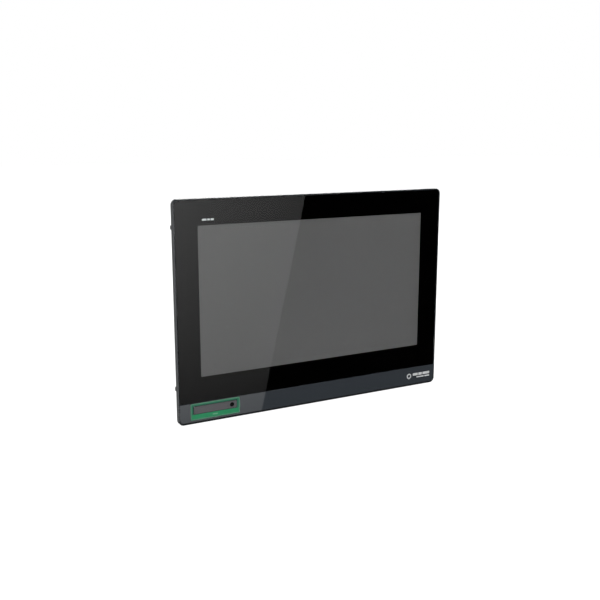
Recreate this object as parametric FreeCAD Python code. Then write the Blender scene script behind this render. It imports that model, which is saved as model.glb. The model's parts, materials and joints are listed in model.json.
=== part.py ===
import FreeCAD, Part
import math
import os

# Wide touch panel for mounting in the cut-out of a control cabinet's door.
#
# Millimetres. +X is to the right as the operator sees it, +Y goes into the cabinet, +Z is up.
# The origin is the centre of the mounting plane: the rear face of the front frame's flange,
# which lies against the cabinet's door.

os.makedirs("parts", exist_ok=True)

# ---------------------------------------------------------------- driving dimensions

PANEL_WIDTH = 414.0          # front frame, outside
PANEL_HEIGHT = 295.0
PANEL_CORNER = 7.5
BEZEL_DEPTH = 6.5            # front frame, in front of the cabinet's door
EDGE_ROUNDING = 1.3          # front edge of the frame
RIM_WIDTH = 1.7              # frame that shows round the glass

CHASSIS_WIDTH = 394.0        # goes through a cut-out of 396 x 277
CHASSIS_HEIGHT = 275.0
CHASSIS_CORNER = 5.0
CHASSIS_DEPTH = 28.0
SHEET = 1.2                  # sheet metal of the chassis and the controller's housing

WINDOW_WIDTH = 347.4         # clear window in the border print
WINDOW_HEIGHT = 198.3
WINDOW_CENTRE_Z = 14.15

DISPLAY_WIDTH = 363.8        # display module, outside
DISPLAY_HEIGHT = 215.9

GLASS_THICKNESS = 2.0
PRINT_THICKNESS = 0.06
SENSOR_THICKNESS = 0.34
BAND_TOP_Z = -119.1          # boundary between the glass and the lower fascia
ASSEMBLY_GAP = 0.25          # play round the glass and the fascia in the frame

DOOR_WIDTH = 61.4            # port door in the lower fascia
DOOR_HEIGHT = 9.9
DOOR_CENTRE_X = -154.9
DOOR_CENTRE_Z = -129.1
DOOR_THICKNESS = 1.8
DOOR_GROOVE = 0.8            # gap between the door and its surround
SURROUND_WIDTH = 70.6
SURROUND_HEIGHT = 22.4
SURROUND_CENTRE_X = -154.9
SURROUND_CENTRE_Z = -131.15
SURROUND_THICKNESS = 1.2

HOUSING_WIDTH = 250.0        # controller's housing on the back of the chassis
HOUSING_LOW_Z = -85.0
HOUSING_HIGH_Z = 95.0
HOUSING_BACK_Y = 53.5
OVERALL_BACK_Y = 55.5        # tips of the heat sink's fins

PLAY = 0.3                   # between solids that only pass each other
RUNNING_PLAY = 0.05          # radial play of a pin or screw in its hole

# ---------------------------------------------------------------- planes and places derived from them

FRONT_Y = -BEZEL_DEPTH
GLASS_BACK_Y = FRONT_Y + GLASS_THICKNESS
PRINT_BACK_Y = GLASS_BACK_Y + PRINT_THICKNESS
LEDGE_Y = PRINT_BACK_Y + SENSOR_THICKNESS
PLATE_BACK_Y = -0.5
HALF_WIDTH = PANEL_WIDTH / 2
HALF_HEIGHT = PANEL_HEIGHT / 2
POCKET_HALF_WIDTH = HALF_WIDTH - RIM_WIDTH
POCKET_HALF_HEIGHT = HALF_HEIGHT - RIM_WIDTH
POCKET_CORNER = PANEL_CORNER - RIM_WIDTH
CHASSIS_HALF_WIDTH = CHASSIS_WIDTH / 2
CHASSIS_HALF_HEIGHT = CHASSIS_HEIGHT / 2
CHASSIS_PLATE_Y = CHASSIS_DEPTH - SHEET
DISPLAY_LOW_Z = WINDOW_CENTRE_Z - DISPLAY_HEIGHT / 2
HOUSING_HALF_WIDTH = HOUSING_WIDTH / 2

GROOVE_INNER_MARGIN = 3.0    # gasket groove, measured out from the chassis
GROOVE_OUTER_MARGIN = 7.4
GROOVE_DEPTH = 2.0

BOSS_RADIUS = 3.5
BOSS_HOLE_RADIUS = 1.3
BOSS_X = 189.0
BOSS_Z = 129.5
BOSS_PLACES = [(x, z) for z in (-BOSS_Z, BOSS_Z) for x in (-BOSS_X, -63.0, 63.0, BOSS_X)]
BOSS_PLACES += [(-BOSS_X, 0.0), (BOSS_X, 0.0)]

HINGE_X = DOOR_CENTRE_X - DOOR_WIDTH / 2 + DOOR_THICKNESS / 2
HINGE_Y = FRONT_Y + DOOR_THICKNESS / 2
HINGE_PIN_RADIUS = 0.45
HINGE_PIN_OVERHANG = 1.4

LATCH_X = -131.0
LATCH_HEAD_RADIUS = 3.0
LATCH_HEAD_DEPTH = 1.0
LATCH_SHANK_RADIUS = 1.2

BAY_LOW_X = -178.0           # opening behind the port door
BAY_HIGH_X = -136.5
BAY_HEIGHT = 7.5
USB_A_X = -165.0
USB_MINI_X = -146.0
USB_FACE_Y = -3.6
USB_BOARD_Y = 10.5
USB_POST_RADIUS = 2.4
USB_POST_PLACES = [-180.9, LATCH_X]
USB_BOARD_LOW_X = -183.3
USB_BOARD_HIGH_X = -128.0
USB_BOARD_HEIGHT = 12.0
BOARD_THICKNESS = 1.6

CATCH_LEVELS = {"upper": 110.0, "lower": -104.0}
CATCH_HEIGHT = 5.2
CATCH_FRONT_Y = 15.0
CATCH_FLAT = 4.0
CATCH_BACK_Y = 25.0
CATCH_REACH = 4.5            # stands out of the chassis wall at rest

BOARD_FRONT_Y = 33.0
BOARD_BACK_Y = BOARD_FRONT_Y + BOARD_THICKNESS
BOARD_HALF_WIDTH = 118.0
BOARD_LOW_Z = HOUSING_LOW_Z + 2.0
BOARD_HIGH_Z = 90.0
SPACER_PLACES = [(x, z) for z in (-60.0, 82.0) for x in (-110.0, 0.0, 110.0)]

PORT_Y = BOARD_BACK_Y        # connectors stand on the main board's rear side
POWER_X = -95.0
ETHERNET_PLACES = [-64.0, -44.0]
SERIAL_JACK_X = -20.0
SERIAL_PORT_X = 16.0
REAR_USB_PLACES = [52.0, 72.0]
RESET_X = 95.0

SENSOR_INSET = 2.0           # layers bonded behind the cover glass
GLASS_CHAMFER = 0.2
FASCIA_CHAMFER = 0.25

USB_A_WIDTH = 13.1           # outsides of the socket shells
USB_A_HEIGHT = 5.7
USB_MINI_WIDTH = 7.7
USB_MINI_HEIGHT = 3.9
SHELL_WALL = 0.4

FRAME_SHEET = 0.5            # display module, from its front to its back
FRAME_BACK_Y = 4.9
CELL_FRONT_Y = LEDGE_Y + FRAME_SHEET
CELL_BACK_Y = CELL_FRONT_Y + 1.5
DIFFUSER_FRONT_Y = CELL_BACK_Y + 0.2
DIFFUSER_BACK_Y = DIFFUSER_FRONT_Y + 0.6
GUIDE_FRONT_Y = DIFFUSER_BACK_Y + 0.2
GUIDE_BACK_Y = GUIDE_FRONT_Y + 3.0
TRAY_FRONT_Y = GUIDE_BACK_Y + 0.2
TRAY_SHEET = 0.8
TRAY_BACK_Y = TRAY_FRONT_Y + TRAY_SHEET
TIMING_BOARD_THICKNESS = 1.0
GUIDE_WIDTH = 353.0
GUIDE_HEIGHT = 205.0
LAMP_COUNT = 29
LAMP_WIDTH = 4.0

SMALL_SCREW_RADIUS = 0.95    # M2 screws
SMALL_SCREW_LENGTH = 2.8
SMALL_HEAD_RADIUS = 1.9
SMALL_HOLE_RADIUS = SMALL_SCREW_RADIUS + RUNNING_PLAY
MACHINE_SCREW_RADIUS = 1.25  # M3 screws, at the root of the thread
MACHINE_HEAD_RADIUS = 2.8
MACHINE_HOLE_RADIUS = 1.6

BRACKET_WIDTH = 14.0         # clips that hold the display module
BRACKET_SHEET = 1.0
BRACKET_PLACES = (-120.0, 0.0, 120.0)
BRACKET_SCREW_OFFSET = 6.5

CLAMP_SLOT_LENGTH = 14.0     # openings of the chassis
CLAMP_SLOT_HEIGHT = 5.0
CLAMP_SLOT_Y = 14.0
CLAMP_PLACES = (-140.0, 0.0, 140.0)
VENT_WIDTH = 2.4
VENT_LENGTH = 26.0
VENT_PITCH = 6.0

RIBBON_X = 55.0              # flat cable to the display
RIBBON_WIDTH = 20.0
RIBBON_THICKNESS = 0.3
RIBBON_SLOT_WIDTH = 26.0
RIBBON_SLOT_Z = -70.0

EARTH_X = 165.0
EARTH_Z = -118.0
EARTH_HOLE_RADIUS = 2.0
EARTH_WASHER_THICKNESS = 1.0

FLANGE_WIDTH = 9.5           # feet of the controller's housing
HOUSING_SCREW_X = 130.0
HOUSING_SCREW_LEVELS = (-70.0, 5.0, 80.0)
TOP_SLOT_COUNT = 15
TOP_SLOT_PITCH = 15.0
TOP_SLOT_LENGTH = 9.0

HEAT_SINK_WIDTH = 130.0
HEAT_SINK_LOW_Z = -10.0
HEAT_SINK_HIGH_Z = 80.0
HEAT_SINK_BASE_Y = 40.0
FIN_ROOT_Y = 45.0
FIN_THICKNESS = 1.6
FIN_COUNT = 17

PROCESSOR_X = 0.0            # parts on the main board
PROCESSOR_Z = 35.0
PROCESSOR_SIZE = 31.0
PROCESSOR_TOP_Y = BOARD_BACK_Y + 2.2
PAD_THICKNESS = 0.8
MEMORY_X = 88.0
MEMORY_Z = 30.0
BATTERY_X = 98.0
BATTERY_Z = -38.0

INLET_WIDTH = 20.0           # connectors on the housing's lower wall
POWER_PITCH = 5.08
PLUG_DEPTH = 11.0
PLUG_OUTSIDE = 11.5
PLUG_INSIDE = 6.5
PLUG_SCREW_RADIUS = 1.6
JACK_WIDTH = 16.0
JACK_DEPTH = 13.4
SERIAL_PORT_Y = PORT_Y + 6.3
JACKSCREW_SPACING = 24.99
RESET_Y = PORT_Y + 3.0

CARD_Z = 40.0                # memory card at the housing's right side
CARD_WIDTH = 24.0
CARD_LENGTH = 32.0
CARD_THICKNESS = 2.1
CARD_FRONT_Y = PORT_Y + 9.0
CARD_OUTSIDE = 1.6

# ---------------------------------------------------------------- shared shapes


def vector(x, y, z):
    return FreeCAD.Vector(x, y, z)


def rounded_outline(x0, x1, z0, z1, radius, y):
    """Face in the XZ plane at y: a rectangle whose corners are arcs."""
    if radius <= 0:
        corners = [vector(x0, y, z0), vector(x1, y, z0), vector(x1, y, z1), vector(x0, y, z1)]
        return Part.Face(Part.makePolygon(corners + corners[:1]))
    bulge = radius * (1 - math.sqrt(0.5))
    arcs = [
        ((x0 + radius, z0), (x0 + bulge, z0 + bulge), (x0, z0 + radius)),
        ((x0, z1 - radius), (x0 + bulge, z1 - bulge), (x0 + radius, z1)),
        ((x1 - radius, z1), (x1 - bulge, z1 - bulge), (x1, z1 - radius)),
        ((x1, z0 + radius), (x1 - bulge, z0 + bulge), (x1 - radius, z0)),
    ]
    edges = []
    for index, arc in enumerate(arcs):
        points = [vector(x, y, z) for x, z in arc]
        edges.append(Part.Arc(*points).toShape())
        next_start = arcs[(index + 1) % len(arcs)][0]
        edges.append(Part.makeLine(points[2], vector(next_start[0], y, next_start[1])))
    return Part.Face(Part.Wire(edges))


def slab(x0, x1, y0, y1, z0, z1, radius=0.0):
    """Block with its four edges along Y rounded."""
    return rounded_outline(x0, x1, z0, z1, radius, y0).extrude(vector(0, y1 - y0, 0))


def centred_slab(width, height, y0, y1, radius=0.0, x=0.0, z=0.0):
    return slab(x - width / 2, x + width / 2, y0, y1, z - height / 2, z + height / 2, radius)


def rod_y(x, z, radius, y0, y1):
    return Part.makeCylinder(radius, y1 - y0, vector(x, y0, z), vector(0, 1, 0))


def rod_z(x, y, radius, z0, z1):
    return Part.makeCylinder(radius, z1 - z0, vector(x, y, z0), vector(0, 0, 1))


def prism(points, direction):
    """Straight extrusion of a closed outline of (x, y, z) points."""
    corners = [vector(*point) for point in points]
    return Part.Face(Part.makePolygon(corners + corners[:1])).extrude(vector(*direction))


def hexagon_z(x, y, across_flats, z0, z1):
    corner_radius = across_flats / math.sqrt(3)
    turns = [math.radians(60 * step) for step in range(6)]
    points = [(x + corner_radius * math.cos(turn), y + corner_radius * math.sin(turn), z0)
              for turn in turns]
    return prism(points, (0, 0, z1 - z0))


def join(shapes):
    """One solid of solids that touch or overlap."""
    whole = shapes[0].fuse(shapes[1:])
    return whole.removeSplitter()


def edges_at(shape, test):
    """Edges of a shape whose two ends and middle all pass a test."""
    chosen = []
    for edge in shape.Edges:
        middle = edge.valueAt((edge.FirstParameter + edge.LastParameter) / 2)
        points = [vertex.Point for vertex in edge.Vertexes] + [middle]
        if all(test(point) for point in points):
            chosen.append(edge)
    return chosen


def pan_screw(x, z, seat_y, head_radius, head_height, shank_radius, shank_length, slot_width=0.8):
    """Cross-slotted pan-head screw that goes in along -Y, with its head behind seat_y."""
    head = rod_y(x, z, head_radius, seat_y, seat_y + head_height)
    rim = edges_at(head, lambda point: abs(point.y - seat_y - head_height) < 0.01)
    head = head.makeFillet(head_height * 0.45, rim)
    shank = rod_y(x, z, shank_radius, seat_y - shank_length, seat_y)
    screw = join([head, shank])
    slot_y = seat_y + head_height * 0.45
    slot_length = head_radius * 1.2
    top_y = seat_y + head_height + 1
    screw = screw.cut(centred_slab(slot_length, slot_width, slot_y, top_y, 0, x, z))
    return screw.cut(centred_slab(slot_width, slot_length, slot_y, top_y, 0, x, z))


# ---------------------------------------------------------------- front frame, glass and fascia


def chassis_recess():
    """Shallow recess in the back of the frame that locates the chassis."""
    margin = PLAY * 2
    return centred_slab(CHASSIS_WIDTH + margin, CHASSIS_HEIGHT + margin, PLATE_BACK_Y, 1.0, CHASSIS_CORNER)


def gasket_band(inner_margin, outer_margin, y0, y1):
    outer = centred_slab(CHASSIS_WIDTH + 2 * outer_margin, CHASSIS_HEIGHT + 2 * outer_margin,
                         y0, y1, CHASSIS_CORNER + outer_margin * 0.5)
    inner = centred_slab(CHASSIS_WIDTH + 2 * inner_margin, CHASSIS_HEIGHT + 2 * inner_margin,
                         y0 - 1, y1 + 1, CHASSIS_CORNER)
    return outer.cut(inner)


def port_bay(y0, y1):
    return slab(BAY_LOW_X, BAY_HIGH_X, y0, y1, DOOR_CENTRE_Z - BAY_HEIGHT / 2,
                DOOR_CENTRE_Z + BAY_HEIGHT / 2, 1.5)


def front_bezel():
    body = centred_slab(PANEL_WIDTH, PANEL_HEIGHT, FRONT_Y, 0, PANEL_CORNER)
    front_edges = edges_at(body, lambda point: abs(point.y - FRONT_Y) < 0.01)
    body = body.makeFillet(EDGE_ROUNDING, front_edges)
    pocket = centred_slab(2 * POCKET_HALF_WIDTH, 2 * POCKET_HALF_HEIGHT, FRONT_Y - 1, LEDGE_Y, POCKET_CORNER)
    display_opening = centred_slab(DISPLAY_WIDTH + 2, DISPLAY_HEIGHT + 2, FRONT_Y, 1.0, 2.0,
                                   0, WINDOW_CENTRE_Z)
    latch_hole = rod_y(LATCH_X, DOOR_CENTRE_Z, LATCH_SHANK_RADIUS + PLAY, LEDGE_Y - 1, PLATE_BACK_Y - 1)
    body = body.cut([pocket, display_opening, chassis_recess(), latch_hole,
                     gasket_band(GROOVE_INNER_MARGIN, GROOVE_OUTER_MARGIN, -GROOVE_DEPTH, 1.0),
                     port_bay(FRONT_Y - 1, 1.0)])
    posts = [rod_y(x, z, BOSS_RADIUS, PLATE_BACK_Y - 0.5, CHASSIS_PLATE_Y) for x, z in BOSS_PLACES]
    posts += [rod_y(x, DOOR_CENTRE_Z, USB_POST_RADIUS, PLATE_BACK_Y - 0.5, USB_BOARD_Y)
              for x in USB_POST_PLACES]
    body = join([body] + posts)
    holes = [rod_y(x, z, BOSS_HOLE_RADIUS, CHASSIS_PLATE_Y - 9, CHASSIS_PLATE_Y + 1) for x, z in BOSS_PLACES]
    holes += [rod_y(x, DOOR_CENTRE_Z, SMALL_HOLE_RADIUS, USB_BOARD_Y - 3, USB_BOARD_Y + 1)
              for x in USB_POST_PLACES]
    holes += [rod_y(x, z, SMALL_HOLE_RADIUS, PLATE_BACK_Y - 2.2, 1.0)
              for x, z in bracket_screw_places()]
    return body.cut(holes)


def glass_outline(y0, y1, margin=ASSEMBLY_GAP):
    """Slab of the cover glass's outline: round at its upper corners, square along the fascia."""
    half_width = POCKET_HALF_WIDTH - margin
    top = POCKET_HALF_HEIGHT - margin
    whole = slab(-half_width, half_width, y0, y1, -top, top, POCKET_CORNER - margin)
    return whole.cut(slab(-HALF_WIDTH, HALF_WIDTH, y0 - 1, y1 + 1, -HALF_HEIGHT, BAND_TOP_Z + margin / 2))


def window_hole(y0, y1, margin=0.0):
    return centred_slab(WINDOW_WIDTH + 2 * margin, WINDOW_HEIGHT + 2 * margin, y0 - 1, y1 + 1, 0,
                        0, WINDOW_CENTRE_Z)


def cover_glass():
    glass = glass_outline(FRONT_Y, GLASS_BACK_Y)
    front_edges = edges_at(glass, lambda point: abs(point.y - FRONT_Y) < 0.01)
    return glass.makeChamfer(GLASS_CHAMFER, front_edges)


def border_print():
    return glass_outline(GLASS_BACK_Y, PRINT_BACK_Y, 0.6).cut(window_hole(GLASS_BACK_Y, PRINT_BACK_Y))


def touch_sensor():
    return centred_slab(DISPLAY_WIDTH - 2 * SENSOR_INSET, DISPLAY_HEIGHT - 2 * SENSOR_INSET,
                        PRINT_BACK_Y, LEDGE_Y, 1.0, 0, WINDOW_CENTRE_Z)


def glass_adhesive():
    opening = centred_slab(DISPLAY_WIDTH + 8, DISPLAY_HEIGHT + 8, PRINT_BACK_Y - 1, LEDGE_Y + 1, 3.0,
                           0, WINDOW_CENTRE_Z)
    return glass_outline(PRINT_BACK_Y, LEDGE_Y, 1.5).cut(opening)


def door_opening(y0, y1):
    return centred_slab(DOOR_WIDTH + 2 * DOOR_GROOVE, DOOR_HEIGHT + 2 * DOOR_GROOVE, y0, y1, 1.4,
                        DOOR_CENTRE_X, DOOR_CENTRE_Z)


def hinge_pin_shape(play=0.0):
    reach = DOOR_HEIGHT / 2 + DOOR_GROOVE + HINGE_PIN_OVERHANG + play
    return rod_z(HINGE_X, HINGE_Y, HINGE_PIN_RADIUS + play, DOOR_CENTRE_Z - reach, DOOR_CENTRE_Z + reach)


def surround_outline(y0, y1, margin=0.0):
    return centred_slab(SURROUND_WIDTH + 2 * margin, SURROUND_HEIGHT + 2 * margin, y0, y1, 1.6,
                        SURROUND_CENTRE_X, SURROUND_CENTRE_Z)


def lower_fascia():
    half_width = POCKET_HALF_WIDTH - ASSEMBLY_GAP
    low = -POCKET_HALF_HEIGHT + ASSEMBLY_GAP
    whole = slab(-half_width, half_width, FRONT_Y, LEDGE_Y, low, -low, POCKET_CORNER - ASSEMBLY_GAP)
    upper_part = slab(-HALF_WIDTH, HALF_WIDTH, FRONT_Y - 1, LEDGE_Y + 1,
                      BAND_TOP_Z - ASSEMBLY_GAP / 2, HALF_HEIGHT)
    fascia = whole.cut(upper_part)
    front_edges = edges_at(fascia, lambda point: abs(point.y - FRONT_Y) < 0.01)
    fascia = fascia.makeChamfer(FASCIA_CHAMFER, front_edges)
    seat = surround_outline(FRONT_Y - 1, FRONT_Y + SURROUND_THICKNESS, 0.1)
    return fascia.cut([seat, door_opening(FRONT_Y - 1, LEDGE_Y + 1), hinge_pin_shape(RUNNING_PLAY)])


def usb_surround():
    plate = surround_outline(FRONT_Y, FRONT_Y + SURROUND_THICKNESS)
    front_edges = edges_at(plate, lambda point: abs(point.y - FRONT_Y) < 0.01)
    plate = plate.makeFillet(0.2, front_edges)
    return plate.cut([door_opening(FRONT_Y - 1, FRONT_Y + 3), hinge_pin_shape(RUNNING_PLAY)])


def usb_door():
    """Door leaf: its left end is round about the hinge pin, so that it clears the fascia."""
    back_y = FRONT_Y + DOOR_THICKNESS
    low_z = DOOR_CENTRE_Z - DOOR_HEIGHT / 2
    high_z = DOOR_CENTRE_Z + DOOR_HEIGHT / 2
    right_x = DOOR_CENTRE_X + DOOR_WIDTH / 2
    leaf = slab(HINGE_X, right_x, FRONT_Y, back_y, low_z, high_z)
    corners = edges_at(leaf, lambda point: abs(point.x - right_x) < 0.01
                       and (abs(point.z - low_z) < 0.01 or abs(point.z - high_z) < 0.01))
    leaf = leaf.makeFillet(1.2, corners)
    barrel = rod_z(HINGE_X, HINGE_Y, DOOR_THICKNESS / 2, low_z, high_z)
    leaf = join([leaf, barrel])
    shallow = 0.35
    frame_width = 1.1
    field = slab(HINGE_X + 2.0, LATCH_X - LATCH_HEAD_RADIUS - 2.2, FRONT_Y - 1, FRONT_Y + shallow,
                 low_z + frame_width, high_z - frame_width, 0.8)
    counterbore = rod_y(LATCH_X, DOOR_CENTRE_Z, LATCH_HEAD_RADIUS + PLAY / 2, FRONT_Y - 1,
                        FRONT_Y + LATCH_HEAD_DEPTH)
    screw_hole = rod_y(LATCH_X, DOOR_CENTRE_Z, LATCH_SHANK_RADIUS + RUNNING_PLAY, FRONT_Y, back_y + 1)
    return leaf.cut([field, counterbore, screw_hole, hinge_pin_shape(RUNNING_PLAY)])


def usb_door_hinge_pin():
    return hinge_pin_shape()


def usb_door_screw():
    head = rod_y(LATCH_X, DOOR_CENTRE_Z, LATCH_HEAD_RADIUS, FRONT_Y, FRONT_Y + LATCH_HEAD_DEPTH)
    rim = edges_at(head, lambda point: abs(point.y - FRONT_Y) < 0.01)
    head = head.makeFillet(0.4, rim)
    shank = rod_y(LATCH_X, DOOR_CENTRE_Z, LATCH_SHANK_RADIUS, FRONT_Y + LATCH_HEAD_DEPTH, LEDGE_Y + 2.0)
    coin_slot = centred_slab(4.2, 0.9, FRONT_Y - 1, FRONT_Y + 0.6, 0, LATCH_X, DOOR_CENTRE_Z)
    return join([head, shank]).cut(coin_slot)


def usb_door_seal():
    front_y = LEDGE_Y - 0.5
    low_z = DOOR_CENTRE_Z - BAY_HEIGHT / 2
    high_z = DOOR_CENTRE_Z + BAY_HEIGHT / 2
    width = 0.9
    outer = slab(BAY_LOW_X - width, BAY_HIGH_X + width, front_y, LEDGE_Y, low_z - width, high_z + width, 2.2)
    return outer.cut(port_bay(front_y - 1, LEDGE_Y + 1))


def mounting_gasket():
    side_play = 0.2
    return gasket_band(GROOVE_INNER_MARGIN + side_play, GROOVE_OUTER_MARGIN - side_play, -GROOVE_DEPTH, 0)


# ---------------------------------------------------------------- ports behind the door


def socket_shell_y(x, width, height, back_y):
    """Folded metal shell of a socket that faces the operator, closed by its insulator behind."""
    outer = centred_slab(width, height, USB_FACE_Y, back_y, 0.6, x, DOOR_CENTRE_Z)
    inner = centred_slab(width - 2 * SHELL_WALL, height - 2 * SHELL_WALL, USB_FACE_Y - 1, back_y + 1, 0.3,
                         x, DOOR_CENTRE_Z)
    return outer.cut(inner)


def socket_insulator_y(x, width, height, back_y, tongue_width, tongue_z0, tongue_z1, tongue_face_y):
    block = centred_slab(width - 2 * SHELL_WALL, height - 2 * SHELL_WALL, back_y - 4.5, back_y, 0.3,
                         x, DOOR_CENTRE_Z)
    tongue = slab(x - tongue_width / 2, x + tongue_width / 2, tongue_face_y, back_y - 4.5,
                  DOOR_CENTRE_Z + tongue_z0, DOOR_CENTRE_Z + tongue_z1)
    return join([block, tongue])


def front_usb_shells():
    type_a = socket_shell_y(USB_A_X, USB_A_WIDTH, USB_A_HEIGHT, USB_BOARD_Y)
    mini = socket_shell_y(USB_MINI_X, USB_MINI_WIDTH, USB_MINI_HEIGHT, USB_BOARD_Y)
    return Part.makeCompound([type_a, mini])


def front_usb_insulators():
    type_a = socket_insulator_y(USB_A_X, USB_A_WIDTH, USB_A_HEIGHT, USB_BOARD_Y, 11.0, 0.2, 2.0,
                                USB_FACE_Y + 0.8)
    mini = socket_insulator_y(USB_MINI_X, USB_MINI_WIDTH, USB_MINI_HEIGHT, USB_BOARD_Y, 4.6, -0.4, 0.6,
                              USB_FACE_Y + 0.9)
    return Part.makeCompound([type_a, mini])


def front_usb_board():
    board = slab(USB_BOARD_LOW_X, USB_BOARD_HIGH_X, USB_BOARD_Y, USB_BOARD_Y + BOARD_THICKNESS,
                 DOOR_CENTRE_Z - USB_BOARD_HEIGHT / 2, DOOR_CENTRE_Z + USB_BOARD_HEIGHT / 2, 1.0)
    holes = [rod_y(x, DOOR_CENTRE_Z, SMALL_SCREW_RADIUS + PLAY / 2, USB_BOARD_Y - 1, USB_BOARD_Y + 3)
             for x in USB_POST_PLACES]
    return board.cut(holes)


# ---------------------------------------------------------------- display module


def display_slab(width, height, y0, y1, radius=0.5):
    return centred_slab(width, height, y0, y1, radius, 0, WINDOW_CENTRE_Z)


def lcd_frame():
    outer = display_slab(DISPLAY_WIDTH, DISPLAY_HEIGHT, LEDGE_Y, FRAME_BACK_Y, 1.0)
    inside = display_slab(DISPLAY_WIDTH - 2 * FRAME_SHEET, DISPLAY_HEIGHT - 2 * FRAME_SHEET,
                          CELL_FRONT_Y, FRAME_BACK_Y + 1, 0.5)
    return outer.cut([inside, window_hole(LEDGE_Y, CELL_FRONT_Y, 0.8)])


def optical_bond():
    return display_slab(WINDOW_WIDTH + 1.4, WINDOW_HEIGHT + 1.4, LEDGE_Y, CELL_FRONT_Y, 0)


def lcd_cell():
    return display_slab(GUIDE_WIDTH - 2, GUIDE_HEIGHT - 2, CELL_FRONT_Y, CELL_BACK_Y)


def diffuser_sheet():
    return display_slab(GUIDE_WIDTH - 1, GUIDE_HEIGHT - 1, DIFFUSER_FRONT_Y, DIFFUSER_BACK_Y)


def light_guide():
    return display_slab(GUIDE_WIDTH, GUIDE_HEIGHT, GUIDE_FRONT_Y, GUIDE_BACK_Y)


def led_strip():
    """Backlight lamps along the light guide's lower edge."""
    guide_low_z = WINDOW_CENTRE_Z - GUIDE_HEIGHT / 2
    carrier = slab(-172, 172, GUIDE_FRONT_Y, GUIDE_BACK_Y, guide_low_z - 2.0, guide_low_z - 1.2)
    first_x = -170.0
    pitch = -2 * first_x / (LAMP_COUNT - 1)
    centres = [first_x + pitch * step for step in range(LAMP_COUNT)]
    lamps = [slab(x - LAMP_WIDTH / 2, x + LAMP_WIDTH / 2, GUIDE_FRONT_Y + 0.5, GUIDE_BACK_Y - 0.5,
                  guide_low_z - 1.2, guide_low_z - 0.3) for x in centres]
    return join([carrier] + lamps)


def lcd_tray():
    play = 0.2
    width = DISPLAY_WIDTH - 2 * (FRAME_SHEET + play)
    height = DISPLAY_HEIGHT - 2 * (FRAME_SHEET + play)
    outer = display_slab(width, height, CELL_FRONT_Y + 0.3, TRAY_BACK_Y, 0.8)
    inside = display_slab(width - 2 * TRAY_SHEET, height - 2 * TRAY_SHEET,
                          CELL_FRONT_Y - 1, TRAY_FRONT_Y, 0.4)
    return outer.cut(inside)


def timing_board():
    chip_y = TRAY_BACK_Y + TIMING_BOARD_THICKNESS
    chip_z = DISPLAY_LOW_Z + 12
    board = slab(-110, 110, TRAY_BACK_Y, chip_y, DISPLAY_LOW_Z + 8, DISPLAY_LOW_Z + 30, 1.0)
    chips = [slab(x, x + width, chip_y, chip_y + 1.0, chip_z, chip_z + width)
             for x, width in ((-80, 12), (-20, 9), (25, 14), (70, 8))]
    return join([board] + chips)


def bracket_screw_places():
    offset = DISPLAY_HEIGHT / 2 + BRACKET_SCREW_OFFSET
    return [(x, WINDOW_CENTRE_Z + side * offset) for side in (-1, 1) for x in BRACKET_PLACES]


def display_bracket(x, side):
    """Z-shaped clip: its foot is screwed to the frame and its lip holds the display's back."""
    edge = WINDOW_CENTRE_Z + side * DISPLAY_HEIGHT / 2
    foot_end = edge + side * 10.0
    riser = edge + side * 1.4
    lip_end = edge - side * 5.0
    foot_y = PLATE_BACK_Y + BRACKET_SHEET
    lip_y = FRAME_BACK_Y + BRACKET_SHEET
    left = x - BRACKET_WIDTH / 2
    inner = riser - side * BRACKET_SHEET
    points = [
        (left, PLATE_BACK_Y, foot_end),
        (left, foot_y, foot_end),
        (left, foot_y, riser),
        (left, lip_y, riser),
        (left, lip_y, lip_end),
        (left, FRAME_BACK_Y, lip_end),
        (left, FRAME_BACK_Y, inner),
        (left, PLATE_BACK_Y, inner),
    ]
    clip = prism(points, (BRACKET_WIDTH, 0, 0))
    hole_z = edge + side * BRACKET_SCREW_OFFSET
    return clip.cut(rod_y(x, hole_z, SMALL_SCREW_RADIUS + PLAY, PLATE_BACK_Y - 1, foot_y + 1))


def display_brackets():
    return Part.makeCompound([display_bracket(x, side) for side in (-1, 1) for x in BRACKET_PLACES])


def small_screws():
    """The M2 screws of the display's brackets and of the front port board."""
    seats = [(x, z, PLATE_BACK_Y + BRACKET_SHEET) for x, z in bracket_screw_places()]
    seats += [(x, DOOR_CENTRE_Z, USB_BOARD_Y + BOARD_THICKNESS) for x in USB_POST_PLACES]
    return Part.makeCompound([pan_screw(x, z, seat_y, SMALL_HEAD_RADIUS, 1.2, SMALL_SCREW_RADIUS,
                                        SMALL_SCREW_LENGTH, 0.5) for x, z, seat_y in seats])


# ---------------------------------------------------------------- chassis


def vent_row(x_start, count, z, y0, y1):
    """Row of upright slots with round ends, cut along Y."""
    end_radius = VENT_WIDTH / 2 - 0.01
    return [centred_slab(VENT_WIDTH, VENT_LENGTH, y0, y1, end_radius, x_start + VENT_PITCH * step, z)
            for step in range(count)]


def clamp_slots():
    """Slots in the chassis walls that take the hooks of the installation clamps."""
    half = CLAMP_SLOT_LENGTH / 2
    y0 = CLAMP_SLOT_Y - CLAMP_SLOT_HEIGHT / 2
    y1 = CLAMP_SLOT_Y + CLAMP_SLOT_HEIGHT / 2
    slots = []
    for x in CLAMP_PLACES:
        slots.append(slab(x - half, x + half, y0, y1, CHASSIS_HALF_HEIGHT - 3, CHASSIS_HALF_HEIGHT + 3))
        slots.append(slab(x - half, x + half, y0, y1, -CHASSIS_HALF_HEIGHT - 3, -CHASSIS_HALF_HEIGHT + 3))
    return slots


def catch_window(side, z):
    half = CATCH_HEIGHT / 2 + PLAY
    x0 = side * (CHASSIS_HALF_WIDTH - 3)
    x1 = side * (CHASSIS_HALF_WIDTH + 3)
    return slab(min(x0, x1), max(x0, x1), CATCH_FRONT_Y - PLAY, CATCH_BACK_Y + PLAY, z - half, z + half)


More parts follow.
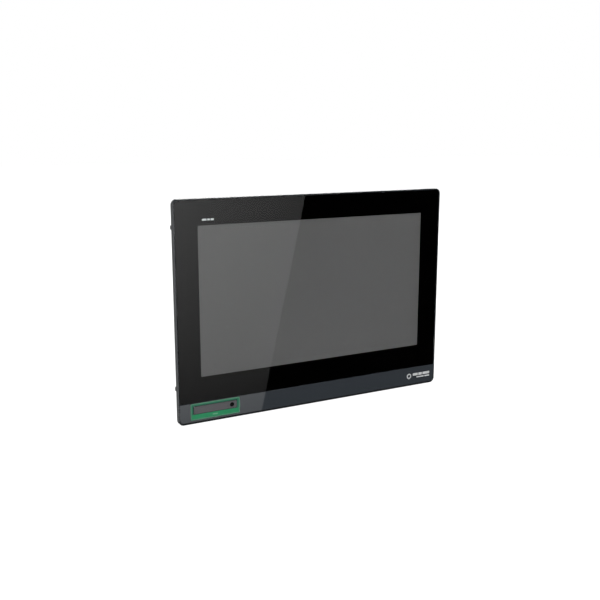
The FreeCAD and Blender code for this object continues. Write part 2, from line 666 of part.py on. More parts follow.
def catch_guide(side, z):
    """Channel folded from the chassis plate: it holds a retention catch from above and below."""
    inner_x = side * (CHASSIS_HALF_WIDTH - 16.0)
    outer_x = side * (CHASSIS_HALF_WIDTH - SHEET)
    half = CATCH_HEIGHT / 2 + PLAY
    x0 = min(inner_x, outer_x)
    x1 = max(inner_x, outer_x)
    front_y = CATCH_FRONT_Y - 1.0
    cheeks = [slab(x0, x1, front_y, CHASSIS_PLATE_Y, z + half, z + half + SHEET),
              slab(x0, x1, front_y, CHASSIS_PLATE_Y, z - half - SHEET, z - half)]
    stop = slab(min(inner_x, inner_x + side * SHEET), max(inner_x, inner_x + side * SHEET),
                front_y, CHASSIS_PLATE_Y, z - half, z + half)
    return cheeks + [stop]


def rear_chassis():
    outer = centred_slab(CHASSIS_WIDTH, CHASSIS_HEIGHT, PLATE_BACK_Y, CHASSIS_DEPTH, CHASSIS_CORNER)
    rear_edges = edges_at(outer, lambda point: abs(point.y - CHASSIS_DEPTH) < 0.01)
    outer = outer.makeFillet(1.5, rear_edges)
    inside = centred_slab(CHASSIS_WIDTH - 2 * SHEET, CHASSIS_HEIGHT - 2 * SHEET, PLATE_BACK_Y - 1,
                          CHASSIS_PLATE_Y, CHASSIS_CORNER - SHEET)
    shell = outer.cut(inside)
    catches = [(side, z) for side in (-1, 1) for z in CATCH_LEVELS.values()]
    guides = [piece for side, z in catches for piece in catch_guide(side, z)]
    earth_boss = rod_y(EARTH_X, EARTH_Z, 4.5, CHASSIS_PLATE_Y - 5, CHASSIS_PLATE_Y)
    shell = join([shell, earth_boss] + guides)
    cuts = [catch_window(side, z) for side, z in catches] + clamp_slots()
    cuts += [rod_y(x, z, MACHINE_HOLE_RADIUS, CHASSIS_PLATE_Y - 1, CHASSIS_DEPTH + 1)
             for x, z in BOSS_PLACES]
    cuts += [rod_y(x, z, BOSS_HOLE_RADIUS, CHASSIS_PLATE_Y - 1, CHASSIS_DEPTH + 1)
             for x, z in SPACER_PLACES + housing_screw_places()]
    cuts.append(centred_slab(RIBBON_SLOT_WIDTH, 8, CHASSIS_PLATE_Y - 1, CHASSIS_DEPTH + 1, 2,
                             RIBBON_X, RIBBON_SLOT_Z))
    cuts.append(rod_y(EARTH_X, EARTH_Z, EARTH_HOLE_RADIUS, CHASSIS_PLATE_Y - 6, CHASSIS_DEPTH + 1))
    for vent_z in (-60.0, 60.0):
        for first_x in (-178.0, 148.0):
            cuts += vent_row(first_x, 6, vent_z, CHASSIS_PLATE_Y - 1, CHASSIS_DEPTH + 1)
    return shell.cut(cuts)


def retention_catch(side, z):
    """Sprung catch: a ramp that the cut-out pushes in, and a flat front that then holds the panel.

    A lip in front of the window keeps it from being pushed right out by its spring.
    """
    wall = CHASSIS_HALF_WIDTH
    tip = side * (wall + CATCH_REACH)
    heel = side * (wall - 9.0)
    lip_end = side * (wall - SHEET - 0.2)
    lip_y = CATCH_FRONT_Y - 1.6
    ramp_end = side * (wall - 0.4)
    low = z - CATCH_HEIGHT / 2
    points = [
        (heel, lip_y, low),
        (lip_end, lip_y, low),
        (lip_end, CATCH_FRONT_Y, low),
        (tip, CATCH_FRONT_Y, low),
        (tip, CATCH_FRONT_Y + CATCH_FLAT, low),
        (ramp_end, CATCH_BACK_Y, low),
        (heel, CATCH_BACK_Y, low),
    ]
    catch = prism(points, (0, 0, CATCH_HEIGHT))
    tip_edges = edges_at(catch, lambda point: abs(point.x - tip) < 0.01)
    return catch.makeFillet(0.8, tip_edges)


# ---------------------------------------------------------------- controller


def housing_screw_places():
    return [(side * HOUSING_SCREW_X, z) for side in (-1, 1) for z in HOUSING_SCREW_LEVELS]


def port_cutouts():
    """Openings in the housing's lower wall for the connectors."""
    z0 = HOUSING_LOW_Z - 1
    z1 = HOUSING_LOW_Z + SHEET + 1
    cuts = [slab(POWER_X - INLET_WIDTH / 2 - PLAY, POWER_X + INLET_WIDTH / 2 + PLAY, PORT_Y - PLAY,
                 PORT_Y + PLUG_DEPTH + PLAY, z0, z1)]
    for x in ETHERNET_PLACES + [SERIAL_JACK_X]:
        cuts.append(slab(x - JACK_WIDTH / 2 - PLAY, x + JACK_WIDTH / 2 + PLAY, PORT_Y - PLAY,
                         PORT_Y + JACK_DEPTH + PLAY, z0, z1))
    cuts.append(slab(SERIAL_PORT_X - 9.6, SERIAL_PORT_X + 9.6, PORT_Y + 1.0, PORT_Y + 11.6, z0, z1))
    for side in (-1, 1):
        cuts.append(rod_z(SERIAL_PORT_X + side * JACKSCREW_SPACING / 2, SERIAL_PORT_Y, 1.7, z0, z1))
    for x in REAR_USB_PLACES:
        cuts.append(slab(x - USB_A_WIDTH / 2 - PLAY, x + USB_A_WIDTH / 2 + PLAY, PORT_Y - PLAY,
                         PORT_Y + USB_A_HEIGHT + PLAY, z0, z1))
    cuts.append(rod_z(RESET_X, RESET_Y, 1.8, z0, z1))
    return cuts


def top_wall_slots():
    """Two rows of cooling slots in the housing's upper wall."""
    half = TOP_SLOT_LENGTH / 2
    slots = []
    for step in range(TOP_SLOT_COUNT):
        x = TOP_SLOT_PITCH * (step - (TOP_SLOT_COUNT - 1) / 2)
        for y in (38.0, 44.0):
            slots.append(slab(x - half, x + half, y, y + VENT_WIDTH, HOUSING_HIGH_Z - 3, HOUSING_HIGH_Z + 1))
    return slots


def controller_housing():
    x = HOUSING_HALF_WIDTH
    outer = slab(-x, x, CHASSIS_DEPTH, HOUSING_BACK_Y, HOUSING_LOW_Z, HOUSING_HIGH_Z, 3.0)
    rear_edges = edges_at(outer, lambda point: abs(point.y - HOUSING_BACK_Y) < 0.01)
    outer = outer.makeFillet(1.5, rear_edges)
    inside = slab(-x + SHEET, x - SHEET, CHASSIS_DEPTH - 1, HOUSING_BACK_Y - SHEET,
                  HOUSING_LOW_Z + SHEET, HOUSING_HIGH_Z - SHEET, 2.0)
    shell = outer.cut(inside)
    flanges = [slab(min(side * x, side * (x + FLANGE_WIDTH)), max(side * x, side * (x + FLANGE_WIDTH)),
                    CHASSIS_DEPTH, CHASSIS_DEPTH + SHEET, z - 9, z + 9)
               for side in (-1, 1) for z in HOUSING_SCREW_LEVELS]
    shell = join([shell] + flanges)
    cuts = port_cutouts()
    cuts += [rod_y(screw_x, z, MACHINE_HOLE_RADIUS, CHASSIS_DEPTH - 1, CHASSIS_DEPTH + 3)
             for screw_x, z in housing_screw_places()]
    cuts.append(slab(-HEAT_SINK_WIDTH / 2 - 0.5, HEAT_SINK_WIDTH / 2 + 0.5, HOUSING_BACK_Y - 3,
                     HOUSING_BACK_Y + 1, HEAT_SINK_LOW_Z - 0.5, HEAT_SINK_HIGH_Z + 0.5, 1.0))
    for vent_z in (60.0, 10.0):
        for first_x in (-112.0, 76.0):
            cuts += vent_row(first_x, 7, vent_z, HOUSING_BACK_Y - 3, HOUSING_BACK_Y + 1)
    cuts += top_wall_slots()
    cuts.append(card_slot_cut())
    return shell.cut(cuts)


def machine_screws():
    """The M3 screws of the chassis, the controller's housing and the main board, all alike."""
    seats = [(x, z, CHASSIS_DEPTH) for x, z in BOSS_PLACES]
    seats += [(x, z, CHASSIS_DEPTH + SHEET) for x, z in housing_screw_places()]
    seats += [(x, z, BOARD_BACK_Y) for x, z in SPACER_PLACES]
    return Part.makeCompound([pan_screw(x, z, seat_y, MACHINE_HEAD_RADIUS, 2.0, MACHINE_SCREW_RADIUS, 6.0)
                              for x, z, seat_y in seats])


def heat_sink():
    half = HEAT_SINK_WIDTH / 2
    base = slab(-half, half, HEAT_SINK_BASE_Y, FIN_ROOT_Y, HEAT_SINK_LOW_Z, HEAT_SINK_HIGH_Z, 0.8)
    pitch = (HEAT_SINK_WIDTH - FIN_THICKNESS) / (FIN_COUNT - 1)
    fins = [slab(-half + pitch * step, -half + pitch * step + FIN_THICKNESS, FIN_ROOT_Y, OVERALL_BACK_Y,
                 HEAT_SINK_LOW_Z, HEAT_SINK_HIGH_Z) for step in range(FIN_COUNT)]
    pedestal = centred_slab(34, 34, PROCESSOR_TOP_Y + PAD_THICKNESS, HEAT_SINK_BASE_Y, 0.5,
                            PROCESSOR_X, PROCESSOR_Z)
    legs = [rod_y(x, z, 4.0, BOARD_BACK_Y, HEAT_SINK_BASE_Y) for x, z in heat_sink_legs()]
    return join([base, pedestal] + fins + legs)


def heat_sink_legs():
    return [(x, z) for x in (-58.0, 58.0) for z in (-4.0, 74.0)]


def main_board():
    board = slab(-BOARD_HALF_WIDTH, BOARD_HALF_WIDTH, BOARD_FRONT_Y, BOARD_BACK_Y,
                 BOARD_LOW_Z, BOARD_HIGH_Z, 2.0)
    holes = [rod_y(x, z, MACHINE_HOLE_RADIUS, BOARD_FRONT_Y - 1, BOARD_BACK_Y + 1) for x, z in SPACER_PLACES]
    return board.cut(holes)


def board_spacers():
    spacers = []
    for x, z in SPACER_PLACES:
        column = rod_y(x, z, 3.0, CHASSIS_DEPTH, BOARD_FRONT_Y)
        spacers.append(column.cut(rod_y(x, z, BOSS_HOLE_RADIUS, CHASSIS_DEPTH - 1, BOARD_FRONT_Y + 1)))
    return Part.makeCompound(spacers)


def processor():
    substrate = centred_slab(PROCESSOR_SIZE, PROCESSOR_SIZE, BOARD_BACK_Y, BOARD_BACK_Y + 1.2, 0.5,
                             PROCESSOR_X, PROCESSOR_Z)
    die = centred_slab(12, 16, BOARD_BACK_Y + 1.2, PROCESSOR_TOP_Y, 0.3, PROCESSOR_X, PROCESSOR_Z)
    return join([substrate, die])


def thermal_pad():
    return centred_slab(30, 30, PROCESSOR_TOP_Y, PROCESSOR_TOP_Y + PAD_THICKNESS, 0.5,
                        PROCESSOR_X, PROCESSOR_Z)


def memory_socket():
    rail = centred_slab(8, 72, BOARD_BACK_Y, BOARD_BACK_Y + 5.0, 0.5, MEMORY_X - 20, MEMORY_Z)
    groove = centred_slab(5, 69.6, BOARD_BACK_Y + 2.4, BOARD_BACK_Y + 3.8, 0, MEMORY_X - 17.5, MEMORY_Z)
    return rail.cut(groove)


def memory_module():
    """Small plug-in memory card with four chips, lying parallel to the main board."""
    card = slab(MEMORY_X - 18.9, MEMORY_X + 11.0, BOARD_BACK_Y + 2.6, BOARD_BACK_Y + 3.6,
                MEMORY_Z - 33.8, MEMORY_Z + 33.8)
    chips = [slab(MEMORY_X - 8, MEMORY_X + 4, BOARD_BACK_Y + 3.6, BOARD_BACK_Y + 4.7,
                  MEMORY_Z + z - 5, MEMORY_Z + z + 5) for z in (-25, -9, 9, 25)]
    return join([card] + chips)


def power_capacitors():
    """Upright round capacitors by the power inlet."""
    places = [(-100.0, -40.0), (-86.0, -40.0), (-72.0, -40.0), (-100.0, -26.0)]
    top_y = BOARD_BACK_Y + 12.5
    cans = []
    for x, z in places:
        can = rod_y(x, z, 5.0, BOARD_BACK_Y, top_y)
        top = edges_at(can, lambda point: abs(point.y - top_y) < 0.01)
        cans.append(can.makeFillet(0.6, top))
    return Part.makeCompound(cans)


def board_components():
    """Inductors, flat square chips and the reset switch, whose well guides the reset button."""
    inductors = [centred_slab(12, 12, BOARD_BACK_Y, BOARD_BACK_Y + 6.0, 1.5, x, -42.0)
                 for x in (-54.0, -38.0)]
    places = [(-54, -20, 14), (-40, 20, 14), (16, -48, 10), (50, -45, 12), (-90, 20, 17), (-90, 55, 12)]
    chips = [centred_slab(size, size, BOARD_BACK_Y, BOARD_BACK_Y + 1.4, 0.4, x, z) for x, z, size in places]
    switch = slab(RESET_X - 3.1, RESET_X + 3.1, PORT_Y, PORT_Y + 6.0,
                  HOUSING_LOW_Z + 2.6, HOUSING_LOW_Z + 9.0)
    well = rod_z(RESET_X, RESET_Y, 1.6, HOUSING_LOW_Z, HOUSING_LOW_Z + 6.2)
    return Part.makeCompound(inductors + chips + [switch.cut(well)])


def battery_holder():
    outer = rod_y(BATTERY_X, BATTERY_Z, 12.5, BOARD_BACK_Y, BOARD_BACK_Y + 5.0)
    well = rod_y(BATTERY_X, BATTERY_Z, 10.3, BOARD_BACK_Y + 1.2, BOARD_BACK_Y + 6.0)
    finger_gap = slab(BATTERY_X + 5, BATTERY_X + 14, BOARD_BACK_Y + 1.2, BOARD_BACK_Y + 6.0,
                      BATTERY_Z - 4, BATTERY_Z + 4)
    return outer.cut([well, finger_gap])


def backup_battery():
    floor_y = BOARD_BACK_Y + 1.2
    top_y = floor_y + 3.2
    cell = rod_y(BATTERY_X, BATTERY_Z, 10.0, floor_y, top_y)
    rims = edges_at(cell, lambda point: abs(point.y - top_y) < 0.01)
    return cell.makeFillet(0.5, rims)


def display_ribbon():
    """Flat cable from the display's timing board to the main board, through the chassis plate."""
    x0 = RIBBON_X - RIBBON_WIDTH / 2
    thickness = RIBBON_THICKNESS
    start_y = TRAY_BACK_Y + TIMING_BOARD_THICKNESS
    low_z = DISPLAY_LOW_Z + 14.0
    points = [
        (x0, start_y, low_z),
        (x0, start_y + thickness, low_z),
        (x0, start_y + thickness, RIBBON_SLOT_Z),
        (x0, BOARD_FRONT_Y, RIBBON_SLOT_Z),
        (x0, BOARD_FRONT_Y, RIBBON_SLOT_Z + thickness),
        (x0, start_y, RIBBON_SLOT_Z + thickness),
    ]
    return prism(points, (RIBBON_WIDTH, 0, 0))


# ---------------------------------------------------------------- connectors on the housing's lower wall


def power_inlet():
    """Three-pole header: an open box with pins that the plug slides over."""
    body = slab(POWER_X - INLET_WIDTH / 2, POWER_X + INLET_WIDTH / 2, PORT_Y, PORT_Y + PLUG_DEPTH,
                HOUSING_LOW_Z, HOUSING_LOW_Z + 12)
    well = slab(POWER_X - 8.8, POWER_X + 8.8, PORT_Y + 1.2, PORT_Y + PLUG_DEPTH - 1.2,
                HOUSING_LOW_Z - 1, HOUSING_LOW_Z + 9)
    pins = [rod_z(POWER_X + POWER_PITCH * step, PORT_Y + PLUG_DEPTH / 2, 0.6, HOUSING_LOW_Z + 2,
                  HOUSING_LOW_Z + 10) for step in (-1, 0, 1)]
    return join([body.cut(well)] + pins)


def plug_screw_places():
    return [POWER_X + POWER_PITCH * step for step in (-1, 0, 1)]


def power_plug():
    """Pull-off terminal block: three wire entries below and three clamping screws on its rear side."""
    mid_y = PORT_Y + PLUG_DEPTH / 2
    low_z = HOUSING_LOW_Z - PLUG_OUTSIDE
    block = slab(POWER_X - 9.6, POWER_X + 9.6, PORT_Y + 0.2, PORT_Y + PLUG_DEPTH + 2.2, low_z,
                 HOUSING_LOW_Z - 0.3)
    nose = slab(POWER_X - 8.5, POWER_X + 8.5, PORT_Y + 1.5, PORT_Y + PLUG_DEPTH - 1.5, HOUSING_LOW_Z - 0.3,
                HOUSING_LOW_Z + PLUG_INSIDE)
    plug = join([block, nose])
    edges = edges_at(plug, lambda point: abs(point.z - low_z) < 0.01)
    plug = plug.makeChamfer(0.6, edges)
    cuts = []
    for x in plug_screw_places():
        cuts.append(rod_z(x, mid_y, 0.9, HOUSING_LOW_Z - 2.5, HOUSING_LOW_Z + PLUG_INSIDE + 1))
        cuts.append(slab(x - 1.7, x + 1.7, PORT_Y + 1.8, PORT_Y + 5.8, low_z - 1, low_z + 7))
        cuts.append(rod_y(x, low_z + 4.5, PLUG_SCREW_RADIUS + RUNNING_PLAY, mid_y + 1.5,
                          PORT_Y + PLUG_DEPTH + 3))
    return plug.cut(cuts)


def power_plug_screw(index):
    x = plug_screw_places()[index]
    z = HOUSING_LOW_Z - PLUG_OUTSIDE + 4.5
    front_y = PORT_Y + PLUG_DEPTH / 2 + 1.8
    back_y = PORT_Y + PLUG_DEPTH + 1.6
    screw = rod_y(x, z, PLUG_SCREW_RADIUS, front_y, back_y)
    slot = slab(x - 3, x + 3, back_y - 0.7, back_y + 1, z - 0.3, z + 0.3)
    return screw.cut(slot)


def jack_socket(x):
    """Eight-way jack: the plug's opening is wider than the latch's notch behind it."""
    body = slab(x - JACK_WIDTH / 2, x + JACK_WIDTH / 2, PORT_Y, PORT_Y + JACK_DEPTH,
                HOUSING_LOW_Z, HOUSING_LOW_Z + 21)
    face_z = HOUSING_LOW_Z - 1
    well_top = HOUSING_LOW_Z + 12.5
    opening = slab(x - 5.95, x + 5.95, PORT_Y + 1.4, PORT_Y + 8.2, face_z, well_top)
    shoulder = slab(x - 3.1, x + 3.1, PORT_Y + 8.2, PORT_Y + 9.7, face_z, well_top)
    notch = slab(x - 1.7, x + 1.7, PORT_Y + 9.7, PORT_Y + 11.3, face_z, well_top)
    return body.cut([opening, shoulder, notch])


def modular_jacks():
    """Two network jacks and one serial jack."""
    return Part.makeCompound([jack_socket(x) for x in ETHERNET_PLACES + [SERIAL_JACK_X]])


def d_outline(x, y, width, height, z0, z1):
    """Trapezoid with rounded corners, the shape of a D connector's shell."""
    slope = 0.9
    half = width / 2
    points = [(x - half + slope, y - height / 2, z0), (x + half - slope, y - height / 2, z0),
              (x + half, y + height / 2, z0), (x - half, y + height / 2, z0)]
    body = prism(points, (0, 0, z1 - z0))
    upright = edges_at(body, lambda point: True)
    upright = [edge for edge in upright if abs(edge.Vertexes[0].Z - edge.Vertexes[1].Z) > 0.5]
    return body.makeFillet(1.4, upright)


def serial_port_shell():
    y = SERIAL_PORT_Y
    flange = slab(SERIAL_PORT_X - 15.4, SERIAL_PORT_X + 15.4, PORT_Y + 0.1, PORT_Y + 12.5,
                  HOUSING_LOW_Z + SHEET, HOUSING_LOW_Z + SHEET + 0.8)
    skirt = d_outline(SERIAL_PORT_X, y, 16.9, 8.4, HOUSING_LOW_Z - 5.0, HOUSING_LOW_Z + SHEET + 0.8)
    inside = d_outline(SERIAL_PORT_X, y, 16.1, 7.6, HOUSING_LOW_Z - 6.0, HOUSING_LOW_Z + SHEET + 2)
    holes = [rod_z(SERIAL_PORT_X + side * JACKSCREW_SPACING / 2, y, 1.6, HOUSING_LOW_Z, HOUSING_LOW_Z + 4)
             for side in (-1, 1)]
    return join([flange, skirt]).cut([inside] + holes)


def serial_port_insert():
    """Insulator of the D connector, with its nine pins."""
    y = SERIAL_PORT_Y
    top_z = HOUSING_LOW_Z + SHEET + 0.8
    plate = slab(SERIAL_PORT_X - 9.5, SERIAL_PORT_X + 9.5, PORT_Y, PORT_Y + 12.6, top_z, top_z + 8)
    core = d_outline(SERIAL_PORT_X, y, 15.7, 7.2, HOUSING_LOW_Z + 0.5, top_z)
    upper = [(SERIAL_PORT_X + 2.77 * step, y + 1.42) for step in (-2, -1, 0, 1, 2)]
    lower = [(SERIAL_PORT_X + 2.77 * (step + 0.5), y - 1.42) for step in (-2, -1, 0, 1)]
    pins = [rod_z(px, py, 0.5, HOUSING_LOW_Z - 4.4, HOUSING_LOW_Z + 0.6) for px, py in upper + lower]
    return join([plate, core] + pins)


def jackscrews():
    y = SERIAL_PORT_Y
    screws = []
    for side in (-1, 1):
        x = SERIAL_PORT_X + side * JACKSCREW_SPACING / 2
        head = hexagon_z(x, y, 4.7, HOUSING_LOW_Z - 5.0, HOUSING_LOW_Z)
        shank = rod_z(x, y, 1.45, HOUSING_LOW_Z, HOUSING_LOW_Z + 6)
        thread = rod_z(x, y, 1.2, HOUSING_LOW_Z - 6, HOUSING_LOW_Z - 1)
        screws.append(join([head, shank]).cut(thread))
    return Part.makeCompound(screws)


def rear_usb_shells():
    shells = []
    for x in REAR_USB_PLACES:
        outer = slab(x - USB_A_WIDTH / 2, x + USB_A_WIDTH / 2, PORT_Y, PORT_Y + USB_A_HEIGHT,
                     HOUSING_LOW_Z, HOUSING_LOW_Z + 14)
        inner = slab(x - USB_A_WIDTH / 2 + SHELL_WALL, x + USB_A_WIDTH / 2 - SHELL_WALL, PORT_Y + SHELL_WALL,
                     PORT_Y + USB_A_HEIGHT - SHELL_WALL, HOUSING_LOW_Z - 1, HOUSING_LOW_Z + 15)
        shells.append(outer.cut(inner))
    return Part.makeCompound(shells)


def rear_usb_insulators():
    blocks = []
    for x in REAR_USB_PLACES:
        half = USB_A_WIDTH / 2 - SHELL_WALL
        block = slab(x - half, x + half, PORT_Y + SHELL_WALL, PORT_Y + USB_A_HEIGHT - SHELL_WALL,
                     HOUSING_LOW_Z + 9.5, HOUSING_LOW_Z + 14)
        tongue = slab(x - 5.5, x + 5.5, PORT_Y + 0.9, PORT_Y + 2.7, HOUSING_LOW_Z + 0.9, HOUSING_LOW_Z + 9.5)
        blocks.append(join([block, tongue]))
    return Part.makeCompound(blocks)


def reset_button():
    cap = rod_z(RESET_X, RESET_Y, 1.5, HOUSING_LOW_Z - 1.5, HOUSING_LOW_Z + 4.5)
    rim = edges_at(cap, lambda point: abs(point.z - HOUSING_LOW_Z + 1.5) < 0.01)
    return cap.makeFillet(0.4, rim)


# ---------------------------------------------------------------- memory card at the housing's right side


def card_slot_cut():
    half = CARD_WIDTH / 2 + 0.5
    return slab(HOUSING_HALF_WIDTH - 3, HOUSING_HALF_WIDTH + 1, CARD_FRONT_Y - 0.4,
                CARD_FRONT_Y + CARD_THICKNESS + 0.4, CARD_Z - half, CARD_Z + half)


def card_socket():
    """Card cage that stands on four feet beside the memory module."""
    x1 = HOUSING_HALF_WIDTH - SHEET - 0.2
    x0 = x1 - 31.0
    half = CARD_WIDTH / 2 + 1.6
    cage = slab(x0, x1, CARD_FRONT_Y - 1.0, CARD_FRONT_Y + CARD_THICKNESS + 1.0, CARD_Z - half, CARD_Z + half)
    slot = slab(x0 + 1.5, x1 + 1, CARD_FRONT_Y - 0.2, CARD_FRONT_Y + CARD_THICKNESS + 0.2,
                CARD_Z - CARD_WIDTH / 2 - 0.25, CARD_Z + CARD_WIDTH / 2 + 0.25)
    feet = []
    for foot_x in (x0 + 10.4, x0 + 19.4):
        for foot_z in (CARD_Z - half, CARD_Z + half - 1.2):
            feet.append(slab(foot_x, foot_x + 4, BOARD_BACK_Y, CARD_FRONT_Y - 1.0, foot_z, foot_z + 1.2))
    return join([cage] + feet).cut(slot)


def memory_card():
    x1 = HOUSING_HALF_WIDTH + CARD_OUTSIDE
    x0 = x1 - CARD_LENGTH + 1.0
    half = CARD_WIDTH / 2
    corner = 4.0
    y = CARD_FRONT_Y
    points = [(x0 + corner, y, CARD_Z - half), (x1, y, CARD_Z - half), (x1, y, CARD_Z + half),
              (x0, y, CARD_Z + half), (x0, y, CARD_Z - half + corner)]
    return prism(points, (0, CARD_THICKNESS, 0))


# ---------------------------------------------------------------- earth terminal


def earth_washer():
    washer = rod_y(EARTH_X, EARTH_Z, 5.0, CHASSIS_DEPTH, CHASSIS_DEPTH + EARTH_WASHER_THICKNESS)
    return washer.cut(rod_y(EARTH_X, EARTH_Z, EARTH_HOLE_RADIUS + 0.1, CHASSIS_DEPTH - 1, CHASSIS_DEPTH + 2))


def earth_screw():
    return pan_screw(EARTH_X, EARTH_Z, CHASSIS_DEPTH + EARTH_WASHER_THICKNESS, 4.0, 2.6,
                     EARTH_HOLE_RADIUS - RUNNING_PLAY, 6.5, 1.0)


# ---------------------------------------------------------------- nodes

BUILDERS = {
    "front_bezel": front_bezel,
    "lower_fascia": lower_fascia,
    "cover_glass": cover_glass,
    "border_print": border_print,
    "glass_adhesive": glass_adhesive,
    "touch_sensor": touch_sensor,
    "mounting_gasket": mounting_gasket,
    "usb_surround": usb_surround,
    "usb_door": usb_door,
    "usb_door_hinge_pin": usb_door_hinge_pin,
    "usb_door_seal": usb_door_seal,
    "usb_door_screw": usb_door_screw,
    "front_usb_shells": front_usb_shells,
    "front_usb_insulators": front_usb_insulators,
    "front_usb_board": front_usb_board,
    "lcd_frame": lcd_frame,
    "optical_bond": optical_bond,
    "lcd_cell": lcd_cell,
    "diffuser_sheet": diffuser_sheet,
    "light_guide": light_guide,
    "led_strip": led_strip,
    "lcd_tray": lcd_tray,
    "timing_board": timing_board,
    "display_ribbon": display_ribbon,
    "display_brackets": display_brackets,
    "small_screws": small_screws,
    "rear_chassis": rear_chassis,
    "controller_housing": controller_housing,
    "machine_screws": machine_screws,
    "heat_sink": heat_sink,
    "main_board": main_board,
    "board_spacers": board_spacers,
    "processor": processor,
    "thermal_pad": thermal_pad,
    "memory_socket": memory_socket,
    "memory_module": memory_module,
    "power_capacitors": power_capacitors,
    "board_components": board_components,
    "battery_holder": battery_holder,
    "backup_battery": backup_battery,
    "power_inlet": power_inlet,
    "power_plug": power_plug,
    "modular_jacks": modular_jacks,
    "serial_port_shell": serial_port_shell,
    "serial_port_insert": serial_port_insert,
    "jackscrews": jackscrews,
    "rear_usb_shells": rear_usb_shells,
    "rear_usb_insulators": rear_usb_insulators,
    "reset_button": reset_button,
    "card_socket": card_socket,
    "memory_card": memory_card,
    "earth_washer": earth_washer,
    "earth_screw": earth_screw,
}


def export(name, shape):
    if not shape.isValid():
        raise ValueError(name + " is not a valid shape")
    print(name, len(shape.Solids), round(shape.Volume, 1))
    shape.exportStep("parts/" + name + ".step")


for name, builder in BUILDERS.items():
    export(name, builder())

for side_name, side in (("left", -1), ("right", 1)):
    for level_name, level in CATCH_LEVELS.items():
        export("retention_catch_" + side_name + "_" + level_name, retention_catch(side, level))

for index in range(3):
    export("power_plug_screw_" + str(index + 1), power_plug_screw(index))
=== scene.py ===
import json
import math

import bmesh
import bpy
from mathutils import Matrix, Vector


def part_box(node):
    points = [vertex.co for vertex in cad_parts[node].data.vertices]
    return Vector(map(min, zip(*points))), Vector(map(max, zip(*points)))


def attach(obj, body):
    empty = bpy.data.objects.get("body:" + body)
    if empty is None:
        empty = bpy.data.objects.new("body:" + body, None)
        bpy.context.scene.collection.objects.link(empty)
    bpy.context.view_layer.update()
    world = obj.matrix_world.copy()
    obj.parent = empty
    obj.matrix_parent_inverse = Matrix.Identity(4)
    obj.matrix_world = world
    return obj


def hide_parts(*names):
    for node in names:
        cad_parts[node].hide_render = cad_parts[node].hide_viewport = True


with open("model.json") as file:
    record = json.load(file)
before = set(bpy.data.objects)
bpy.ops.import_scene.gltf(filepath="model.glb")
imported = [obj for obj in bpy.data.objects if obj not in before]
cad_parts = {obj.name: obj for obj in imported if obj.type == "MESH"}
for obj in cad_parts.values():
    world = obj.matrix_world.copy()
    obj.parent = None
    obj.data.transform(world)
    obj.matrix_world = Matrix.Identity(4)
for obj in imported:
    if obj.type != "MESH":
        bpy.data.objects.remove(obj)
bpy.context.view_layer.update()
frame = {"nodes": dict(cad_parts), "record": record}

# Looks of the wide touch panel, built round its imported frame.
#
# Metres, in the frame's own axes: +X to the operator's right, +Y into the cabinet, +Z up.
# So the front face is the panel's lowest Y, and a larger Y lies deeper.

MM = 0.001
NODES = frame["nodes"]
SLOT_OF = {part["node"]: part["material_slot"] for part in frame["record"]["subparts"]}

# ---------------------------------------------------------------- places worked out from the frame

FRAME_LOW, FRAME_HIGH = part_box("front_bezel")
GLASS_LOW, GLASS_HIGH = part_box("cover_glass")
FASCIA_LOW, FASCIA_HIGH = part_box("lower_fascia")
HOUSING_LOW, HOUSING_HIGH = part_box("controller_housing")
SURROUND_LOW, SURROUND_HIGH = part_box("usb_surround")
DOOR_LOW, DOOR_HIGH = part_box("usb_door")
JACKS_LOW, JACKS_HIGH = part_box("modular_jacks")
USB_TONGUES_LOW, USB_TONGUES_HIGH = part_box("rear_usb_insulators")
FRONT_TONGUES_LOW, FRONT_TONGUES_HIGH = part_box("front_usb_insulators")
PINS_LOW, PINS_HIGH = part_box("serial_port_insert")
SINK_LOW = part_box("heat_sink")[0]
FRONT_Y = FRAME_LOW.y
PORT_WALL_Z = HOUSING_LOW.z        # the housing's underside, where the rear ports open
FACE_CENTRE = Vector((0.0, FRONT_Y, (FRAME_LOW.z + FRAME_HIGH.z) / 2))
CORNER_RADIUS = 5.5 * MM           # outer corners of the glass and the fascia
INK = 0.02 * MM                    # thickness of a printed mark
CATCHES = [node for node in NODES if node.startswith("retention_catch")]

# ---------------------------------------------------------------- node helpers


